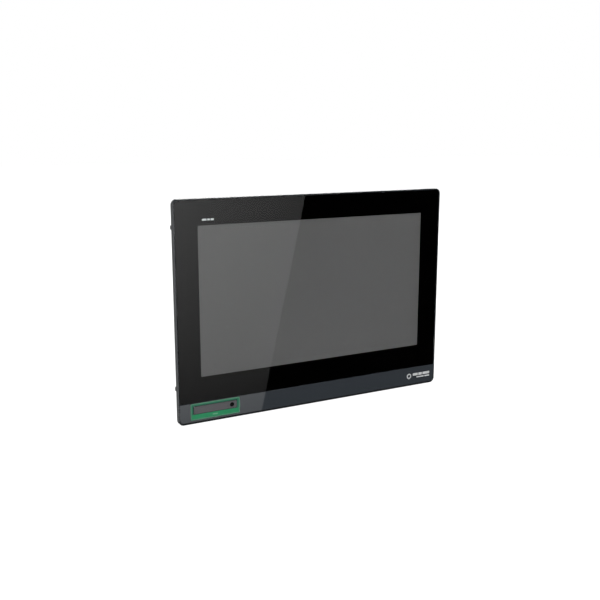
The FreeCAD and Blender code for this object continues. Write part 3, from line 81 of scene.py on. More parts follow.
class Shader:
    """One material's node tree, with short ways to add and join nodes."""

    def __init__(self, name):
        self.material = bpy.data.materials.new(name)
        self.material.use_nodes = True
        self.tree = self.material.node_tree
        self.surface = self.tree.nodes["Principled BSDF"]
        self.output = self.tree.nodes["Material Output"]
        self.place = self.add("ShaderNodeTexCoord").outputs["Object"]

    def add(self, kind, **settings):
        node = self.tree.nodes.new(kind)
        for key, value in settings.items():
            setattr(node, key, value)
        return node

    def link(self, source, target):
        self.tree.links.new(source, target)

    def stretched(self, scale):
        """The place in the object, scaled along each axis."""
        mapping = self.add("ShaderNodeMapping")
        mapping.inputs["Scale"].default_value = scale
        self.link(self.place, mapping.inputs["Vector"])
        return mapping.outputs["Vector"]

    def noise(self, scale, detail=3.0, roughness=0.55, place=None):
        node = self.add("ShaderNodeTexNoise")
        node.inputs["Scale"].default_value = scale
        node.inputs["Detail"].default_value = detail
        node.inputs["Roughness"].default_value = roughness
        self.link(place or self.place, node.inputs["Vector"])
        return node.outputs["Fac"]

    def cells(self, scale, output="Distance", place=None):
        node = self.add("ShaderNodeTexVoronoi", feature="F1")
        node.inputs["Scale"].default_value = scale
        self.link(place or self.place, node.inputs["Vector"])
        return node.outputs[output]

    def spread(self, value, low, high, start=0.3, end=0.7):
        """A value from a texture, spread over a range."""
        node = self.add("ShaderNodeMapRange")
        node.inputs["From Min"].default_value = start
        node.inputs["From Max"].default_value = end
        node.inputs["To Min"].default_value = low
        node.inputs["To Max"].default_value = high
        self.link(value, node.inputs["Value"])
        return node.outputs["Result"]

    def math(self, operation, first, second):
        node = self.add("ShaderNodeMath", operation=operation)
        for socket, value in zip(node.inputs, (first, second)):
            if isinstance(value, (int, float)):
                socket.default_value = value
            else:
                self.link(value, socket)
        return node.outputs["Value"]

    def blend(self, factor, first, second):
        """Mix of two colours, each a tuple or a socket."""
        node = self.add("ShaderNodeMix", data_type="RGBA")
        self.link(factor, node.inputs["Factor"])
        for socket, value in ((node.inputs[6], first), (node.inputs[7], second)):
            if isinstance(value, tuple):
                socket.default_value = (*value, 1.0)
            else:
                self.link(value, socket)
        return node.outputs[2]

    def bump(self, height, distance):
        node = self.add("ShaderNodeBump")
        node.inputs["Distance"].default_value = distance
        node.inputs["Strength"].default_value = 1.0
        self.link(height, node.inputs["Height"])
        return node.outputs["Normal"]

    def worn_and_highlit_edge(self, radius):
        """1 on sharp edges and 0 on flat faces, broken up by a coarse noise."""
        rounded = self.add("ShaderNodeBevel", samples=4)
        rounded.inputs["Radius"].default_value = radius
        true_normal = self.add("ShaderNodeNewGeometry").outputs["Normal"]
        dot = self.add("ShaderNodeVectorMath", operation="DOT_PRODUCT")
        self.link(rounded.outputs["Normal"], dot.inputs[0])
        self.link(true_normal, dot.inputs[1])
        edge = self.spread(dot.outputs["Value"], 1.0, 0.0, 0.75, 0.99)
        patches = self.spread(self.noise(90.0, 4.0), 0.0, 1.0, 0.45, 0.65)
        return self.math("MULTIPLY", edge, patches)

    def set(self, name, value):
        socket = self.surface.inputs[name]
        if isinstance(value, tuple):
            socket.default_value = (*value, 1.0) if len(value) == 3 else value
        elif isinstance(value, (int, float)):
            socket.default_value = value
        else:
            self.link(value, socket)


def scaled(colour, factor):
    """A colour made darker or lighter."""
    return tuple(min(1.0, part * factor) for part in colour)


def varied(shader, value, colour, low, high):
    """A colour that a texture's value takes from a darker to a lighter shade of itself."""
    return shader.blend(value, scaled(colour, low), scaled(colour, high))


# ---------------------------------------------------------------- kinds of finish


def painted(name, colour, roughness=0.42, grain=900.0, depth=0.02 * MM, edge_wear_and_highlight=None, variation=0.08,
            gloss=0.5, ior=1.5):
    """Satin or textured paint: soft orange peel, slight patchiness, and a lighter tone on sharp edges where
    one is given, which is wear on the rear chassis and a painted highlight on the front frame.
    """
    shader = Shader(name)
    patches = shader.spread(shader.noise(14.0, 4.0), 0.0, 1.0)
    tone = varied(shader, patches, colour, 1 - variation, 1 + variation)
    # Lighter tone on sharp edges: wear, and on the front frame a painted highlight standing in for the
    # light caught by its rounded edges.
    if edge_wear_and_highlight:
        tone = shader.blend(shader.worn_and_highlit_edge(0.35 * MM), tone, edge_wear_and_highlight)
    shader.set("Base Color", tone)
    peel = shader.noise(grain, 2.0)
    shader.set("IOR", ior)
    shader.set("Specular IOR Level", gloss)
    shader.set("Roughness", shader.spread(shader.noise(60.0, 5.0), roughness * 0.88, roughness * 1.12))
    shader.set("Normal", shader.bump(peel, depth))
    return shader.material


def moulded(name, colour, roughness=0.5, grain=2600.0, depth=0.012 * MM, variation=0.07, gloss=0.5):
    """Moulded plastic with a fine spark-eroded grain."""
    shader = Shader(name)
    patches = shader.spread(shader.noise(35.0, 4.0), 0.0, 1.0)
    shader.set("Base Color", varied(shader, patches, colour, 1 - variation, 1 + variation))
    shader.set("Roughness", shader.spread(shader.noise(140.0, 4.0), roughness * 0.9, roughness * 1.1))
    shader.set("Normal", shader.bump(shader.noise(grain, 2.0), depth))
    shader.set("Specular IOR Level", gloss)
    return shader.material


def brushed(name, colour, roughness=0.32, along=(1.0, 40.0, 40.0), depth=0.006 * MM, variation=0.1):
    """Metal with fine lines along one axis, and faint handling marks."""
    shader = Shader(name)
    lines = shader.noise(260.0, 4.0, place=shader.stretched(along))
    smears = shader.spread(shader.noise(30.0, 5.0), 0.0, 1.0)
    shader.set("Base Color", varied(shader, smears, colour, 1 - variation, 1 + variation))
    shader.set("Metallic", 1.0)
    shader.set("Roughness", shader.spread(lines, roughness * 0.75, roughness * 1.3))
    shader.set("Normal", shader.bump(lines, depth))
    return shader.material


def galvanised(name, colour, roughness=0.38):
    """Zinc-plated sheet: soft spangle, with finer clouding on top."""
    shader = Shader(name)
    spangle = shader.cells(110.0, output="Color")
    grey = shader.add("ShaderNodeRGBToBW")
    shader.link(spangle, grey.inputs["Color"])
    clouds = shader.noise(45.0, 6.0)
    shader.set("Base Color", varied(shader, shader.spread(clouds, 0.0, 1.0), colour, 0.88, 1.1))
    shader.set("Metallic", 1.0)
    shader.set("Roughness", shader.spread(grey.outputs["Val"], roughness * 0.8, roughness * 1.25, 0.0, 1.0))
    shader.set("Normal", shader.bump(shader.noise(700.0, 3.0), 0.008 * MM))
    return shader.material


def plated(name, colour, roughness=0.16):
    """Bright nickel or zinc plating with faint pull marks."""
    shader = Shader(name)
    marks = shader.noise(420.0, 4.0, place=shader.stretched((6.0, 6.0, 1.0)))
    shader.set("Base Color", varied(shader, shader.spread(marks, 0.0, 1.0), colour, 0.9, 1.06))
    shader.set("Metallic", 1.0)
    shader.set("Roughness", shader.spread(marks, roughness * 0.7, roughness * 1.6))
    shader.set("Normal", shader.bump(marks, 0.003 * MM))
    return shader.material


def rubbery(name, colour, roughness=0.85, pore=1500.0):
    """Foam or solid rubber with small pores."""
    shader = Shader(name)
    pores = shader.cells(pore)
    shader.set("Base Color", varied(shader, shader.spread(pores, 0.0, 1.0, 0.0, 0.6), colour, 0.7, 1.25))
    patches = shader.noise(90.0, 4.0)
    shader.set("Roughness", shader.spread(patches, roughness * 0.92, min(1.0, roughness * 1.08)))
    shader.set("Normal", shader.bump(pores, 0.04 * MM))
    shader.set("Specular IOR Level", 0.25)
    return shader.material


def board_finish(name, colour):
    """Circuit board: solder mask over square copper tracks, with tinned pads."""
    shader = Shader(name)
    flat = shader.stretched((1.0, 0.02, 1.0))
    tracks = shader.add("ShaderNodeTexBrick", offset=0.37, squash=1.0)
    tracks.inputs["Scale"].default_value = 240.0
    tracks.inputs["Mortar Size"].default_value = 0.035
    tracks.inputs["Brick Width"].default_value = 0.9
    tracks.inputs["Row Height"].default_value = 0.32
    turned = shader.add("ShaderNodeMapping")
    turned.inputs["Rotation"].default_value = (math.radians(90), 0.0, 0.0)
    shader.link(shader.place, turned.inputs["Vector"])
    shader.link(turned.outputs["Vector"], tracks.inputs["Vector"])
    region = shader.spread(shader.noise(26.0, 2.0, place=flat), 0.0, 1.0, 0.42, 0.5)
    copper = shader.math("MULTIPLY", tracks.outputs["Fac"], region)
    mask = shader.blend(copper, colour, scaled(colour, 1.9))
    discs = shader.spread(shader.cells(420.0, place=flat), 1.0, 0.0, 0.16, 0.2)
    groups = shader.spread(shader.noise(60.0, 2.0, place=flat), 0.0, 1.0, 0.5, 0.54)
    pads = shader.math("MULTIPLY", discs, groups)
    shader.set("Base Color", shader.blend(pads, mask, (0.55, 0.53, 0.48)))
    shader.set("Metallic", pads)
    shader.set("Roughness", shader.spread(shader.noise(300.0, 3.0), 0.28, 0.4))
    shader.set("Normal", shader.bump(copper, 0.03 * MM))
    return shader.material


def clear(name, tint, ior, roughness=0.0, smudge=0.03):
    """Clear glass or film that lets the lamps through to what it covers."""
    shader = Shader(name)
    shader.set("Base Color", tint)
    shader.set("Transmission Weight", 1.0)
    shader.set("IOR", ior)
    if smudge:
        marks = shader.noise(22.0, 6.0)
        shader.set("Roughness", shader.spread(marks, roughness, roughness + smudge, 0.4, 0.75))
    else:
        shader.set("Roughness", roughness)
    open_way = shader.add("ShaderNodeBsdfTransparent")
    open_way.inputs["Color"].default_value = (*tint, 1.0)
    mix = shader.add("ShaderNodeMixShader")
    shader.link(shader.add("ShaderNodeLightPath").outputs["Is Shadow Ray"], mix.inputs["Fac"])
    shader.link(shader.surface.outputs["BSDF"], mix.inputs[1])
    shader.link(open_way.outputs["BSDF"], mix.inputs[2])
    shader.link(mix.outputs["Shader"], shader.output.inputs["Surface"])
    return shader.material


def display_finish(name, colour):
    """Unlit display under its polariser: even grey with a very fine pixel weave."""
    shader = Shader(name)
    weave = shader.add("ShaderNodeTexChecker")
    weave.inputs["Scale"].default_value = 2000.0
    shader.link(shader.place, weave.inputs["Vector"])
    cloud = shader.spread(shader.noise(6.0, 2.0), 0.0, 1.0)
    tone = varied(shader, cloud, colour, 0.985, 1.015)
    tone = shader.blend(weave.outputs["Fac"], tone, scaled(colour, 0.96))
    shader.set("Base Color", tone)
    shader.set("Roughness", shader.spread(shader.noise(500.0, 2.0), 0.55, 0.65))
    shader.set("Specular IOR Level", 0.1)
    return shader.material


MATERIALS = {
    # The front frame's lighter edge tone is a painted highlight on its rounded front edge.
    "slate_frame": painted("slate_frame", (0.011, 0.015, 0.018), 0.2, 1400.0, 0.002 * MM,
                           edge_wear_and_highlight=(0.05, 0.06, 0.066), gloss=0.8, ior=1.6),
    "slate_fascia": painted("slate_fascia", (0.043, 0.050, 0.058), 0.02, 300.0, 0.0001 * MM,
                            variation=0.02, gloss=1.0, ior=1.8),
    "clear_glass": clear("clear_glass", (0.985, 0.99, 0.988), 1.48, 0.0, 0.006),
    "bonded_glass": clear("bonded_glass", (0.99, 0.99, 0.99), 1.01, 0.0, 0.0),
    "clear_film": clear("clear_film", (0.985, 0.985, 0.985), 1.01, 0.0, 0.0),
    "black_print": moulded("black_print", (0.0004, 0.0004, 0.0004), 0.7, 900.0, 0.001 * MM, 0.1, 0.0),
    "adhesive": rubbery("adhesive", (0.02, 0.02, 0.02)),
    "gasket_rubber": rubbery("gasket_rubber", (0.014, 0.014, 0.015), 0.8, 2200.0),
    "green_trim": moulded("green_trim", (0.024, 0.26, 0.11), 0.36, 1800.0, 0.004 * MM),
    "grey_door": moulded("grey_door", (0.105, 0.104, 0.110), 0.38, 2000.0, 0.005 * MM),
    "black_plastic": moulded("black_plastic", (0.008, 0.008, 0.009), 0.48),
    "steel_pin": brushed("steel_pin", (0.5, 0.5, 0.51), 0.25, (40.0, 40.0, 1.0)),
    "plated_shell": plated("plated_shell", (0.66, 0.65, 0.62)),
    "insulator": moulded("insulator", (0.011, 0.011, 0.012), 0.55),
    "circuit_board": board_finish("circuit_board", (0.008, 0.062, 0.028)),
    "display_steel": brushed("display_steel", (0.52, 0.52, 0.52), 0.35),
    "display_face": display_finish("display_face", (0.0865, 0.0865, 0.0865)),
    "white_film": moulded("white_film", (0.78, 0.78, 0.76), 0.6, 800.0, 0.002 * MM, 0.02),
    "clear_acrylic": clear("clear_acrylic", (0.95, 0.97, 0.97), 1.49, 0.05, 0.05),
    "ribbon": moulded("ribbon", (0.72, 0.70, 0.64), 0.45, 500.0, 0.003 * MM, 0.05),
    "zinc_sheet": galvanised("zinc_sheet", (0.56, 0.56, 0.57)),
    "graphite_sheet": painted("graphite_sheet", (0.060, 0.063, 0.067), 0.5, 2300.0, 0.05 * MM,
                              edge_wear_and_highlight=(0.15, 0.152, 0.155), variation=0.12),
    "screw_steel": plated("screw_steel", (0.50, 0.50, 0.51), 0.3),
    "black_anodised": brushed("black_anodised", (0.075, 0.076, 0.080), 0.42, (40.0, 40.0, 1.0), 0.01 * MM),
    "spacer_brass": plated("spacer_brass", (0.58, 0.44, 0.2), 0.28),
    "chip_black": moulded("chip_black", (0.012, 0.012, 0.012), 0.6, 3000.0, 0.015 * MM),
    "pad_grey": rubbery("pad_grey", (0.24, 0.26, 0.29), 0.8, 900.0),
    "capacitor_can": brushed("capacitor_can", (0.62, 0.62, 0.63), 0.25, (1.0, 40.0, 1.0)),
    "battery_steel": plated("battery_steel", (0.62, 0.62, 0.61), 0.2),
    "terminal_green": moulded("terminal_green", (0.012, 0.16, 0.055), 0.45),
    "earth_plated": plated("earth_plated", (0.62, 0.50, 0.24), 0.26),
    "card_blue": moulded("card_blue", (0.012, 0.024, 0.075), 0.4),
}
WHITE_INK = moulded("white_ink", (0.60, 0.61, 0.61), 0.5, 1500.0, 0.002 * MM, 0.03)
PALE_GREEN_INK = moulded("pale_green_ink", (0.16, 0.42, 0.25), 0.5, 1500.0, 0.002 * MM, 0.03)
# Lit and shaded copies of the trim green: the raised rim's lighter green is a painted highlight, and the
# sunk field's darker green is painted shade.
HIGHLIT_GREEN_RIM = moulded("highlit_green_rim", (0.085, 0.265, 0.16), 0.3, 1800.0, 0.003 * MM)
SHADED_GREEN_FIELD = moulded("shaded_green_field", (0.028, 0.155, 0.092), 0.5, 1800.0, 0.004 * MM)
DEEP_BLACK = moulded("deep_black", (0.0035, 0.004, 0.004), 0.55, 2000.0, 0.004 * MM, 0.07, 0.12)
LAMP_LENS = moulded("lamp_lens", (0.30, 0.36, 0.10), 0.22, 600.0, 0.002 * MM, 0.1)
PLATE_METAL = brushed("plate_metal", (0.50, 0.50, 0.51), 0.5, (40.0, 1.0, 1.0), 0.004 * MM, 0.05)
GOLD = plated("contact_gold", (0.80, 0.58, 0.22), 0.22)

for node_name, node_object in NODES.items():
    node_object.data.materials.clear()
    node_object.data.materials.append(MATERIALS[SLOT_OF[node_name]])
for deep_black_node in ["usb_door_screw"] + CATCHES:
    NODES[deep_black_node].data.materials[0] = DEEP_BLACK

# ---------------------------------------------------------------- mesh helpers


def finished_piece(name, mesh, materials, body, stands_for=()):
    """Links a mesh as a named piece, gives it its finish and makes it ride on its body."""
    for material in materials:
        mesh.materials.append(material)
    piece = bpy.data.objects.new(name, mesh)
    bpy.context.scene.collection.objects.link(piece)
    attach(piece, body)
    if stands_for:
        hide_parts(*stands_for)


def to_mesh(name, form):
    """A mesh from a form being built, with its faces turned outwards."""
    bmesh.ops.recalc_face_normals(form, faces=form.faces)
    mesh = bpy.data.meshes.new(name)
    form.to_mesh(mesh)
    form.free()
    return mesh


def rounded_loop(x0, x1, z0, z1, radii, steps=8):
    """Outline points (x, z), anticlockwise from the lower left, with one radius for each corner."""
    corners = [(x0, z0, 180), (x1, z0, 270), (x1, z1, 0), (x0, z1, 90)]
    points = []
    for (x, z, start), radius in zip(corners, radii):
        if radius <= 0:
            points.append((x, z))
            continue
        centre_x = x + radius * (1 if x == x0 else -1)
        centre_z = z + radius * (1 if z == z0 else -1)
        for step in range(steps + 1):
            turn = math.radians(start + 90 * step / steps)
            points.append((centre_x + radius * math.cos(turn), centre_z + radius * math.sin(turn)))
    return points


def plate_mesh(name, outlines, y_front, y_back, edge=0.0):
    """Flat plate facing the operator: the first outline is its edge and the others are its holes.

    Its front and back edges are rounded by the same small radius.
    """
    curve = bpy.data.curves.new(name, "CURVE")
    curve.dimensions = "2D"
    curve.fill_mode = "BOTH"
    curve.extrude = (y_back - y_front) / 2 - edge
    curve.bevel_depth = edge
    curve.bevel_resolution = 1
    curve.offset = -edge
    for outline in outlines:
        spline = curve.splines.new("POLY")
        spline.points.add(len(outline) - 1)
        for point, (x, z) in zip(spline.points, outline):
            point.co = (x, z, 0.0, 1.0)
        spline.use_cyclic_u = True
    holder = bpy.data.objects.new(name, curve)
    bpy.context.scene.collection.objects.link(holder)
    shape = holder.evaluated_get(bpy.context.evaluated_depsgraph_get())
    mesh = bpy.data.meshes.new_from_object(shape)
    bpy.data.objects.remove(holder)
    turned = Matrix.Rotation(math.radians(90), 4, "X")
    mesh.transform(Matrix.Translation((0, middle(y_front, y_back), 0)) @ turned)
    mesh.name = name
    return welded(mesh)


def welded(mesh):
    """The same mesh with its doubled points joined and no material."""
    form = bmesh.new()
    form.from_mesh(mesh)
    bmesh.ops.remove_doubles(form, verts=form.verts, dist=0.001 * MM)
    bmesh.ops.recalc_face_normals(form, faces=form.faces)
    form.to_mesh(mesh)
    form.free()
    mesh.materials.clear()
    return mesh


def middle(low, high):
    return (low + high) / 2


def box_loop(low, high, margin, radius):
    """Outline of a box seen from the front, grown by a margin."""
    return rounded_loop(low.x - margin, high.x + margin, low.z - margin, high.z + margin, (radius,) * 4, 5)


def rectangle(centre_x, centre_z, width, height, radius=0.0):
    """Rectangle round a centre, with one radius for all its corners."""
    half_width = width / 2
    half_height = height / 2
    return rounded_loop(centre_x - half_width, centre_x + half_width, centre_z - half_height,
                        centre_z + half_height, (radius,) * 4, 5)


def polygon_loop(centre_x, centre_z, radius, sides, turn=0.0):
    """Regular polygon round a centre. With many sides it stands for a circle."""
    turns = [math.radians(turn + 360 * step / sides) for step in range(sides)]
    return [(centre_x + radius * math.cos(angle), centre_z + radius * math.sin(angle))
            for angle in turns]


def merged(name, meshes):
    """Several meshes as one, each keeping its own material number."""
    form = bmesh.new()
    for mesh in meshes:
        form.from_mesh(mesh)
    whole = bpy.data.meshes.new(name)
    form.to_mesh(whole)
    form.free()
    return whole


def block_mesh(name, low, high, edge):
    """Box between two corners, with softened edges."""
    form = bmesh.new()
    bmesh.ops.create_cube(form, size=1.0)
    size = Vector(high) - Vector(low)
    centre = (Vector(high) + Vector(low)) / 2
    for vert in form.verts:
        vert.co = Vector((vert.co.x * size.x, vert.co.y * size.y, vert.co.z * size.z)) + centre
    bmesh.ops.bevel(form, geom=form.edges, offset=edge, segments=2, profile=0.5, affect="EDGES")
    return to_mesh(name, form)


def rod_mesh(name, centre, radius, low, high, tip):
    """Upright round rod, with the rims of both its ends rounded."""
    form = bmesh.new()
    bmesh.ops.create_cone(form, cap_ends=True, segments=20, radius1=radius, radius2=radius,
                          depth=high - low)
    bmesh.ops.translate(form, verts=form.verts, vec=(centre[0], centre[1], middle(low, high)))
    level_within = radius * 0.01
    rims = [edge for edge in form.edges
            if abs(edge.verts[0].co.z - edge.verts[1].co.z) < level_within]
    bmesh.ops.bevel(form, geom=rims, offset=tip, segments=2, profile=0.5, affect="EDGES")
    return to_mesh(name, form)


def soften(node_name, width):
    """Tiny rounding on a CAD solid's sharp edges, so that they catch the light."""
    node_object = NODES[node_name]
    weld = node_object.modifiers.new("weld", "WELD")
    weld.merge_threshold = 0.0005 * MM
    bevel = node_object.modifiers.new("soft_edges", "BEVEL")
    bevel.width = width
    bevel.segments = 2
    bevel.limit_method = "ANGLE"
    bevel.angle_limit = math.radians(40)
    bevel.use_clamp_overlap = True
    bevel.harden_normals = True


# ---------------------------------------------------------------- glass and the layers behind it

GLASS_GAP = 0.04 * MM        # between the pane's back and the print behind it
LAYER_GAP = 0.02 * MM        # round a clear layer


def cover_glass():
    """Front pane. Its back is bonded to what lies behind, so that face bends and mirrors nothing."""
    radii = (0, 0, CORNER_RADIUS, CORNER_RADIUS)
    outline = rounded_loop(GLASS_LOW.x, GLASS_HIGH.x, GLASS_LOW.z, GLASS_HIGH.z, radii)
    mesh = plate_mesh("cover_glass_pane", [outline], FRONT_Y, GLASS_HIGH.y - GLASS_GAP, 0.2 * MM)
    for polygon in mesh.polygons:
        if polygon.normal.y > 0.9:
            polygon.material_index = 1
    materials = [MATERIALS["clear_glass"], MATERIALS["bonded_glass"]]
    finished_piece("cover_glass_pane", mesh, materials, "root", ["cover_glass"])


def bonded_layer(node, name):
    """Clear layer a hair thinner than its CAD solid, so that no two faces coincide."""
    low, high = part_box(node)
    outline = rounded_loop(low.x + LAYER_GAP, high.x - LAYER_GAP, low.z + LAYER_GAP, high.z - LAYER_GAP,
                           (0.6 * MM,) * 4)
    mesh = plate_mesh(name, [outline], low.y + LAYER_GAP, high.y - LAYER_GAP)
    finished_piece(name, mesh, [MATERIALS["clear_film"]], "root", [node])


def series_mark():
    """Plain mark printed behind the glass, over the display's upper left corner: three short bars."""
    left = FRAME_LOW.x + 39.4 * MM
    centre_z = FRAME_HIGH.z - 27.0 * MM
    bar_height = 2.4 * MM
    starts_and_lengths = [(0.0, 6.2), (7.2, 3.6), (11.8, 4.4)]
    back_y = GLASS_HIGH.y - 0.5 * INK
    meshes = []
    for start, length in starts_and_lengths:
        centre_x = left + (start + length / 2) * MM
        outline = rectangle(centre_x, centre_z, length * MM, bar_height, 0.6 * MM)
        meshes.append(plate_mesh("series_mark", [outline], back_y - 0.6 * INK, back_y))
    finished_piece("series_mark", merged("series_mark", meshes), [WHITE_INK], "root")


# ---------------------------------------------------------------- fascia, its emblem and the port door

FASCIA_FACE_Y = FRONT_Y + 0.05 * MM
FASCIA_SEAT_Y = FRONT_Y + 1.3 * MM     # floor of the recess that the surround sits in
FOOT_SEAL_AND_SHADE_HEIGHT = 1.0 * MM            # black bead in the joint between the fascia and the frame's lower rim, which also stands in for the shade on that rim: painted shade
SURROUND_RADIUS = 1.6 * MM
DOOR_GROOVE = 0.8 * MM                 # gap all round the door
GROOVE_RADIUS = 1.4 * MM
RIM_WIDTH = 1.5 * MM
STRIP_FACE_Y = FRONT_Y + 0.08 * MM     # face of the thick strip below the door


def door_opening():
    """Outline of the hole round the port door."""
    return box_loop(DOOR_LOW, DOOR_HIGH, DOOR_GROOVE, GROOVE_RADIUS)


def fascia_plate():
    """Slate strip under the glass, set a hair back so that its printed emblem stays inside the outline."""
    # Its foot stops short of the frame's rim by the height of the black bead, which is partly painted
    # shade.
    outline = rounded_loop(FASCIA_LOW.x, FASCIA_HIGH.x, FASCIA_LOW.z + FOOT_SEAL_AND_SHADE_HEIGHT, FASCIA_HIGH.z,
                           (CORNER_RADIUS, CORNER_RADIUS, 0, 0))
    seat = box_loop(SURROUND_LOW, SURROUND_HIGH, 0.1 * MM, SURROUND_RADIUS)
    front = plate_mesh("fascia_plate", [outline, seat], FASCIA_FACE_Y, FASCIA_SEAT_Y, 0.15 * MM)
    back = plate_mesh("fascia_plate", [outline, door_opening()], FASCIA_SEAT_Y, FASCIA_HIGH.y)
    mesh = merged("fascia_plate", [front, back])
    materials = [MATERIALS["slate_fascia"]]
    finished_piece("fascia_plate", mesh, materials, "root", ["lower_fascia"])


def foot_seal_and_shade():
    """Black bead along the fascia's foot, set a little behind its face. It is a dark joint and also painted
    shade: it runs along the foot only, where it stands in for the shade on the frame's lower rim.
    """
    inset = 0.05 * MM
    outline = rounded_loop(FASCIA_LOW.x + CORNER_RADIUS, FASCIA_HIGH.x - CORNER_RADIUS,
                           FASCIA_LOW.z + inset, FASCIA_LOW.z + FOOT_SEAL_AND_SHADE_HEIGHT - inset,
                           (0.3 * MM,) * 4, 3)
    mesh = plate_mesh("foot_seal_and_shade", [outline], FRONT_Y + 0.35 * MM, FRONT_Y + 1.6 * MM, 0.1 * MM)
    finished_piece("foot_seal_and_shade", mesh, [MATERIALS["gasket_rubber"]], "root")


def maker_emblem():
    """Plain emblem at the fascia's right: a six-sided ring and two rows of bars."""
    right = FRAME_HIGH.x - 9.6 * MM
    centre_z = FRAME_LOW.z + 15.4 * MM
    front_y = FASCIA_FACE_Y - INK
    ring_x = right - 37.6 * MM
    ring_radii = (4.4 * MM, 2.6 * MM)
    ring = [polygon_loop(ring_x, centre_z, radius, 6, 30.0) for radius in ring_radii]
    meshes = [plate_mesh("maker_emblem", ring, front_y, FASCIA_FACE_Y)]
    bar_gap = 1.3
    rows = [(1.6, 3.8, (9.0, 6.5, 12.6)), (-3.0, 2.0, (13.4, 9.0))]
    for offset, height, lengths in rows:
        end = right
        row_z = centre_z + offset * MM
        for length in reversed(lengths):
            outline = rectangle(end - length * MM / 2, row_z, length * MM, height * MM, 0.4 * MM)
            meshes.append(plate_mesh("maker_emblem", [outline], front_y, FASCIA_FACE_Y))
            end -= (length + bar_gap) * MM
    finished_piece("maker_emblem", merged("maker_emblem", meshes), [WHITE_INK], "root")


def surround_trim():
    """Green trim: a raised rim in a lighter green (painted highlight), a sunk field round the door in a
    darker green (painted shade), and a raised strip below it with a dash.
    """
    outer = box_loop(SURROUND_LOW, SURROUND_HIGH, 0.0, SURROUND_RADIUS)
    inner = box_loop(SURROUND_LOW, SURROUND_HIGH, -RIM_WIDTH, 0.8 * MM)
    rim = plate_mesh("surround_rim", [outer, inner], FRONT_Y + 0.02 * MM, SURROUND_HIGH.y, 0.25 * MM)
    field_y = FRONT_Y + 0.45 * MM
    field = plate_mesh("surround_field", [inner, door_opening()], field_y, SURROUND_HIGH.y)
    strip_inset = RIM_WIDTH * 1.1
    strip_top = DOOR_LOW.z - 1.0 * MM
    strip_outline = rounded_loop(SURROUND_LOW.x + strip_inset, SURROUND_HIGH.x - strip_inset,
                                 SURROUND_LOW.z + strip_inset, strip_top, (0.5 * MM,) * 4, 3)
    strip = plate_mesh("surround_strip", [strip_outline], STRIP_FACE_Y, FRONT_Y + 1.0 * MM, 0.2 * MM)
    for mesh, number in ((rim, 0), (field, 1), (strip, 2)):
        for polygon in mesh.polygons:
            polygon.material_index = number
    # Rim with its painted highlight, field with its painted shade, strip in the trim's own green.
    materials = [HIGHLIT_GREEN_RIM, SHADED_GREEN_FIELD, MATERIALS["green_trim"]]
    mesh = merged("surround_trim", [rim, field, strip])
    finished_piece("surround_trim", mesh, materials, "root", ["usb_surround"])
    dash_x = SURROUND_LOW.x + strip_inset + 33.0 * MM
    dash_z = middle(SURROUND_LOW.z + RIM_WIDTH, strip_top)
    dash = rectangle(dash_x, dash_z, 7.5 * MM, 1.5 * MM, 0.6 * MM)
    mark = plate_mesh("surround_dash", [dash], STRIP_FACE_Y - INK, STRIP_FACE_Y)
    finished_piece("surround_dash", mark, [PALE_GREEN_INK], "root")


# ---------------------------------------------------------------- contacts and small parts of the ports

JACK_WIDTH = 16.0 * MM
JACK_SPACING = 20 * MM             # between the centres of the two network jacks
JACK_WIRE_PITCH = 1.02 * MM
USB_HALF_WIDTH = 6.15 * MM
USB_CONTACT_PLACES = (-3.5 * MM, -1.0 * MM, 1.0 * MM, 3.5 * MM)
USB_CONTACT_HALF_WIDTH = 0.5 * MM
SERIAL_PIN_PITCH = 2.77 * MM
SERIAL_ROW_OFFSET = 1.42 * MM
SERIAL_PIN_RADIUS = 0.54 * MM


def jack_details():
    """Gold wires in each jack, and two lamps in the face of each network jack."""
    first_x = JACKS_LOW.x + JACK_WIDTH / 2
    network_centres = [first_x, first_x + JACK_SPACING]
    serial_centre = JACKS_HIGH.x - JACK_WIDTH / 2
    wires = []
    lamps = []
    for x in network_centres + [serial_centre]:
        for step in range(8):
            wire_x = x + JACK_WIRE_PITCH * (step - 3.5)
            low = (wire_x - 0.2 * MM, JACKS_LOW.y + 1.5 * MM, PORT_WALL_Z + 1.5 * MM)
            high = (wire_x + 0.2 * MM, JACKS_LOW.y + 1.9 * MM, PORT_WALL_Z + 11.5 * MM)
            wires.append(block_mesh("jack_wires", low, high, 0.08 * MM))
    for x in network_centres:
        for side in (-1, 1):
            lamp_x = x + side * 6.0 * MM
            low = (lamp_x - 1.3 * MM, JACKS_HIGH.y - 2.9 * MM, PORT_WALL_Z - 0.15 * MM)
            high = (lamp_x + 1.3 * MM, JACKS_HIGH.y - 0.9 * MM, PORT_WALL_Z + 0.6 * MM)
            lamps.append(block_mesh("jack_lamps", low, high, 0.12 * MM))
    finished_piece("jack_wires", merged("jack_wires", wires), [GOLD], "root")
    finished_piece("jack_lamps", merged("jack_lamps", lamps), [LAMP_LENS], "root")


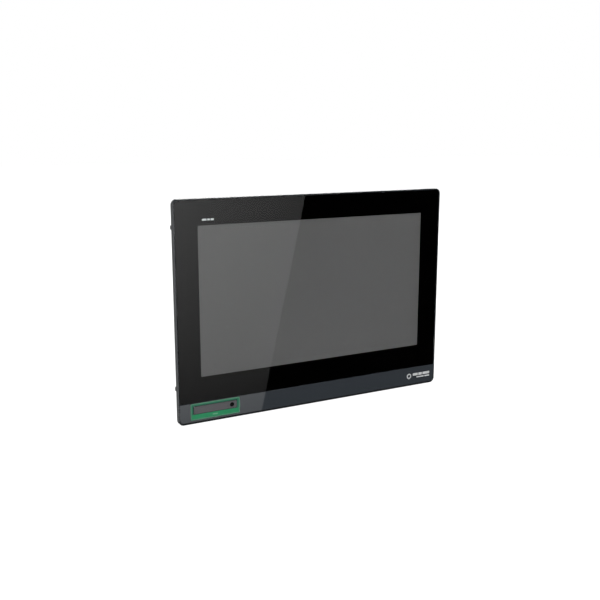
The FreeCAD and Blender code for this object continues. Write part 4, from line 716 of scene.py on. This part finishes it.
def usb_contacts():
    """Four gold strips on the tongue of each rear USB socket, and on that of the front one."""
    strips = []
    rear_y = USB_TONGUES_LOW.y
    for centre_x in (USB_TONGUES_LOW.x + USB_HALF_WIDTH, USB_TONGUES_HIGH.x - USB_HALF_WIDTH):
        for offset in USB_CONTACT_PLACES:
            x = centre_x + offset
            low = (x - USB_CONTACT_HALF_WIDTH, rear_y + 2.25 * MM, PORT_WALL_Z + 1.4 * MM)
            high = (x + USB_CONTACT_HALF_WIDTH, rear_y + 2.42 * MM, PORT_WALL_Z + 9.0 * MM)
            strips.append(block_mesh("usb_contacts", low, high, 0.04 * MM))
    front_x = FRONT_TONGUES_LOW.x + USB_HALF_WIDTH
    front_y = FRONT_TONGUES_LOW.y
    tongue_z = middle(FRONT_TONGUES_LOW.z, FRONT_TONGUES_HIGH.z) + 0.2 * MM
    for offset in USB_CONTACT_PLACES:
        x = front_x + offset
        low = (x - USB_CONTACT_HALF_WIDTH, front_y + 0.5 * MM, tongue_z - 0.12 * MM)
        high = (x + USB_CONTACT_HALF_WIDTH, front_y + 8.0 * MM, tongue_z + 0.05 * MM)
        strips.append(block_mesh("usb_contacts", low, high, 0.04 * MM))
    finished_piece("usb_contacts", merged("usb_contacts", strips), [GOLD], "root")


def serial_pins():
    """Gold skins of the D connector's nine pins."""
    centre_x = middle(PINS_LOW.x, PINS_HIGH.x)
    centre_y = middle(PINS_LOW.y, PINS_HIGH.y)
    five_pins = [centre_x + SERIAL_PIN_PITCH * step for step in (-2, -1, 0, 1, 2)]
    four_pins = [centre_x + SERIAL_PIN_PITCH * (step + 0.5) for step in (-2, -1, 0, 1)]
    places = [(x, centre_y + SERIAL_ROW_OFFSET) for x in five_pins]
    places += [(x, centre_y - SERIAL_ROW_OFFSET) for x in four_pins]
    low_z = PINS_LOW.z - 0.05 * MM
    high_z = PORT_WALL_Z + 0.55 * MM
    pins = [rod_mesh("serial_pins", place, SERIAL_PIN_RADIUS, low_z, high_z, 0.2 * MM)
            for place in places]
    finished_piece("serial_pins", merged("serial_pins", pins), [GOLD], "root")


def blank_rating_plate():
    """Silver plate with no print, riveted under the heat sink."""
    width = 92 * MM
    height = 44 * MM
    rivet_inset = 3.5 * MM
    centre_x = 0.0
    centre_z = middle(HOUSING_LOW.z, SINK_LOW.z)
    face_y = HOUSING_HIGH.y
    outline = rectangle(centre_x, centre_z, width, height, 2.0 * MM)
    meshes = [plate_mesh("rating_plate", [outline], face_y, face_y + 0.35 * MM, 0.1 * MM)]
    for side_x in (-1, 1):
        for side_z in (-1, 1):
            x = centre_x + side_x * (width / 2 - rivet_inset)
            z = centre_z + side_z * (height / 2 - rivet_inset)
            rivet = polygon_loop(x, z, 1.2 * MM, 20)
            meshes.append(plate_mesh("rating_plate", [rivet], face_y + 0.2 * MM, face_y + 0.9 * MM,
                                     0.2 * MM))
    finished_piece("rating_plate", merged("rating_plate", meshes), [PLATE_METAL], "root")


cover_glass()
bonded_layer("touch_sensor", "touch_sensor_film")
bonded_layer("optical_bond", "optical_bond_layer")
series_mark()
fascia_plate()
foot_seal_and_shade()
maker_emblem()
surround_trim()
jack_details()
usb_contacts()
serial_pins()
blank_rating_plate()

# Rounding of the sharp edges of some CAD solids, in millimetres.
EDGE_ROUNDING = {
    "usb_door": 0.5,
    "usb_door_screw": 0.12,
    "front_usb_shells": 0.08,
    "rear_usb_shells": 0.08,
    "modular_jacks": 0.2,
    "power_plug": 0.25,
    "power_inlet": 0.2,
    "heat_sink": 0.15,
    "machine_screws": 0.08,
    "earth_screw": 0.1,
    "earth_washer": 0.15,
    "memory_card": 0.2,
    "jackscrews": 0.15,
    "mounting_gasket": 0.2,
    "serial_port_shell": 0.1,
}
CATCH_ROUNDING = 0.25

for softened_node, rounding in EDGE_ROUNDING.items():
    soften(softened_node, rounding * MM)
for catch in CATCHES:
    soften(catch, CATCH_ROUNDING * MM)

# ---------------------------------------------------------------- stage: camera, world, floor, cards, lamps

# The camera's place and aim, from the middle of the front face.
CAMERA_OFFSET = Vector((-0.5635, -0.9812, 0.2331))
CAMERA_AIM = Vector((-0.0273, 0.0, 0.0036))
CAMERA_LENS = 50.08
SENSOR_WIDTH = 36.0
BACKDROP_WHITE = 1.0
DIFFUSE_GREY = 0.35          # world light on matt surfaces
MIRRORED_GREY = 0.38         # world light that mirrors find behind the panel, on its left
RIGHT_SHARE = 0.1            # share of it that is left on the panel's right
FLOOR_GREY = 0.12
FLOOR_HALF_SIZE = 8.0
FLOOR_DROP = 0.2 * MM


def make_camera():
    data = bpy.data.cameras.new("camera")
    data.sensor_width = SENSOR_WIDTH
    data.lens = CAMERA_LENS
    data.clip_start = 0.01
    data.clip_end = 50.0
    camera = bpy.data.objects.new("camera", data)
    camera.location = FACE_CENTRE + CAMERA_OFFSET
    direction = FACE_CENTRE + CAMERA_AIM - camera.location
    camera.rotation_euler = direction.to_track_quat("-Z", "Y").to_euler()
    bpy.context.scene.collection.objects.link(camera)
    bpy.context.scene.camera = camera


def world_ramp(tree, direction, start, end, low, high):
    """A value from low to high, while one part of the direction goes from start to end."""
    ramp = tree.nodes.new("ShaderNodeMapRange")
    ramp.inputs["From Min"].default_value = start
    ramp.inputs["From Max"].default_value = end
    ramp.inputs["To Min"].default_value = low
    ramp.inputs["To Max"].default_value = high
    tree.links.new(direction, ramp.inputs["Value"])
    return ramp.outputs["Result"]


def make_world():
    """White to the camera and soft grey to matt surfaces.

    To mirrors it is black on the operator's side and grey behind the panel, more so on the left.
    """
    world = bpy.data.worlds.new("studio")
    world.use_nodes = True
    tree = world.node_tree
    background = tree.nodes["Background"]
    path = tree.nodes.new("ShaderNodeLightPath")
    place = tree.nodes.new("ShaderNodeTexCoord")
    split = tree.nodes.new("ShaderNodeSeparateXYZ")
    tree.links.new(place.outputs["Generated"], split.inputs["Vector"])
    behind = world_ramp(tree, split.outputs["Y"], -0.25, 0.6, 0.0, MIRRORED_GREY)
    left = world_ramp(tree, split.outputs["X"], 0.15, -0.15, RIGHT_SHARE, 1.0)
    mirrored = tree.nodes.new("ShaderNodeMath")
    mirrored.operation = "MULTIPLY"
    tree.links.new(behind, mirrored.inputs[0])
    tree.links.new(left, mirrored.inputs[1])
    mirror_mix = tree.nodes.new("ShaderNodeMix")
    mirror_mix.inputs[2].default_value = DIFFUSE_GREY
    tree.links.new(path.outputs["Is Glossy Ray"], mirror_mix.inputs["Factor"])
    tree.links.new(mirrored.outputs["Value"], mirror_mix.inputs[3])
    camera_mix = tree.nodes.new("ShaderNodeMix")
    camera_mix.inputs[3].default_value = BACKDROP_WHITE
    tree.links.new(path.outputs["Is Camera Ray"], camera_mix.inputs["Factor"])
    tree.links.new(mirror_mix.outputs[0], camera_mix.inputs[2])
    tree.links.new(camera_mix.outputs[0], background.inputs["Strength"])
    background.inputs["Color"].default_value = (1.0, 1.0, 1.0, 1.0)
    bpy.context.scene.world = world


def make_floor():
    """Lit white table: the camera sees it as white, and it isn't mirrored in the glass."""
    form = bmesh.new()
    bmesh.ops.create_grid(form, x_segments=1, y_segments=1, size=FLOOR_HALF_SIZE)
    floor = bpy.data.objects.new("floor", to_mesh("floor", form))
    floor.location = (0.0, 0.0, FRAME_LOW.z - FLOOR_DROP)
    shader = Shader("floor_white")
    shader.set("Base Color", (FLOOR_GREY,) * 3)
    shader.set("Roughness", 0.9)
    shader.set("Emission Color", (1.0, 1.0, 1.0))
    path = shader.add("ShaderNodeLightPath")
    shader.set("Emission Strength", shader.spread(path.outputs["Is Camera Ray"], 0.0, 1.0, 0.0, 1.0))
    floor.data.materials.append(shader.material)
    floor.visible_glossy = False
    bpy.context.scene.collection.objects.link(floor)


def area_lamp(name, place, size, power, mirrored=False):
    """Square soft box that faces the panel. Only a mirrored one shows in the glass and the paint."""
    data = bpy.data.lights.new(name, "AREA")
    data.shape = "RECTANGLE"
    data.size = size
    data.size_y = size
    data.energy = power
    lamp = bpy.data.objects.new(name, data)
    lamp.location = place
    lamp.rotation_euler = (-Vector(place)).to_track_quat("-Z", "Y").to_euler()
    lamp.visible_glossy = mirrored
    bpy.context.scene.collection.objects.link(lamp)


# The long soft box that the glass mirrors. Its right-hand edge is the slanted line across the screen,
# which runs between these two points, measured from the middle of the front face.
CARD_DISTANCE = 1.5
CARD_REACH = 0.35            # past the line's ends
CARD_WIDTH = 0.85
LINE_TOP = Vector((-0.0187, 0.0, 0.1466))
LINE_FOOT = Vector((-0.0870, 0.0, -0.1454))
CARD_FADE_WIDTH = 0.55
CARD_BASE_LIGHT = 0.235
CARD_UPWARD_LIGHT = 0.382
CARD_CORNER_LIGHT = 0.78


def mirrored_on_card(point):
    """The point of the card's plane that the camera sees mirrored at a point of the glass."""
    eye = Vector((CAMERA_OFFSET.x, -CAMERA_OFFSET.y, CAMERA_OFFSET.z))
    share = (eye.y + CARD_DISTANCE) / eye.y
    return eye + (point - eye) * share


def stage_card(name, mesh, material):
    """Places a light that only mirrors can see."""
    mesh.materials.append(material)
    card = bpy.data.objects.new(name, mesh)
    card.visible_camera = False
    card.visible_diffuse = False
    card.visible_shadow = False
    bpy.context.scene.collection.objects.link(card)
    return card


def make_mirrored_card():
    """Soft box before the panel, brighter towards its top and most of all at its top left."""
    top = mirrored_on_card(LINE_TOP)
    foot = mirrored_on_card(LINE_FOOT)
    along = (top - foot).normalized()
    across = Vector((-along.z, 0.0, along.x))
    corners = [foot - along * CARD_REACH, top + along * CARD_REACH]
    corners += [corners[1] + across * CARD_WIDTH, corners[0] + across * CARD_WIDTH]
    form = bmesh.new()
    points = [form.verts.new(FACE_CENTRE + Vector((c.x, -CARD_DISTANCE, c.z))) for c in corners]
    form.faces.new(points)
    shader = Shader("card_light")
    light = shader.add("ShaderNodeEmission")
    split = shader.add("ShaderNodeSeparateXYZ")
    shader.link(shader.place, split.inputs["Vector"])
    fade_up = shader.spread(split.outputs["Z"], 0.0, 1.0, foot.z, top.z)
    fade_across = shader.spread(split.outputs["X"], 1.0, 0.0, top.x - CARD_FADE_WIDTH, top.x)
    corner = shader.math("MULTIPLY", fade_up, fade_across)
    corner_glow = shader.math("MULTIPLY", corner, CARD_CORNER_LIGHT)
    glow = shader.math("ADD", shader.math("MULTIPLY", fade_up, CARD_UPWARD_LIGHT), corner_glow)
    shader.link(shader.math("ADD", glow, CARD_BASE_LIGHT), light.inputs["Strength"])
    shader.link(light.outputs["Emission"], shader.output.inputs["Surface"])
    stage_card("mirrored_card", to_mesh("mirrored_card", form), shader.material)


EDGE_CARD_PLACE = Vector((-1.9, -1.1, -0.2))
EDGE_CARD_WIDTH = 0.9
EDGE_CARD_HEIGHT = 2.4
EDGE_CARD_LIGHT = 3.5


def make_edge_card():
    """Tall soft box at the operator's left, mirrored in a thin line by every rounded left-hand edge."""
    outline = rectangle(0.0, 0.0, EDGE_CARD_WIDTH, EDGE_CARD_HEIGHT)
    mesh = plate_mesh("edge_card", [outline], 0.0, 1.0 * MM)
    shader = Shader("edge_light")
    light = shader.add("ShaderNodeEmission")
    light.inputs["Strength"].default_value = EDGE_CARD_LIGHT
    shader.link(light.outputs["Emission"], shader.output.inputs["Surface"])
    card = stage_card("edge_card", mesh, shader.material)
    card.location = EDGE_CARD_PLACE
    facing = math.atan2(EDGE_CARD_PLACE.y, EDGE_CARD_PLACE.x)
    card.rotation_euler = (0.0, 0.0, facing - math.radians(90))


make_camera()
make_world()
make_edge_card()
make_floor()
make_mirrored_card()
# Lamps before the panel, then beside it, then behind it. Powers are in watts.
FRONT_BOX = 2.5
REAR_BOX = 1.5
area_lamp("key_lamp", (-1.5, -5.0, 2.6), FRONT_BOX, 190.0)
area_lamp("fill_lamp", (3.0, -4.5, 1.5), FRONT_BOX, 60.0)
area_lamp("left_lamp", (-2.6, 0.9, 0.7), REAR_BOX, 22.0)
area_lamp("right_lamp", (2.6, 0.7, 0.7), REAR_BOX, 40.0)
area_lamp("back_left_lamp", (-1.2, 2.6, 0.7), REAR_BOX, 45.0)
area_lamp("back_right_lamp", (1.2, 2.2, 1.4), REAR_BOX, 60.0, mirrored=True)
bpy.context.scene.view_settings.view_transform = "Standard"
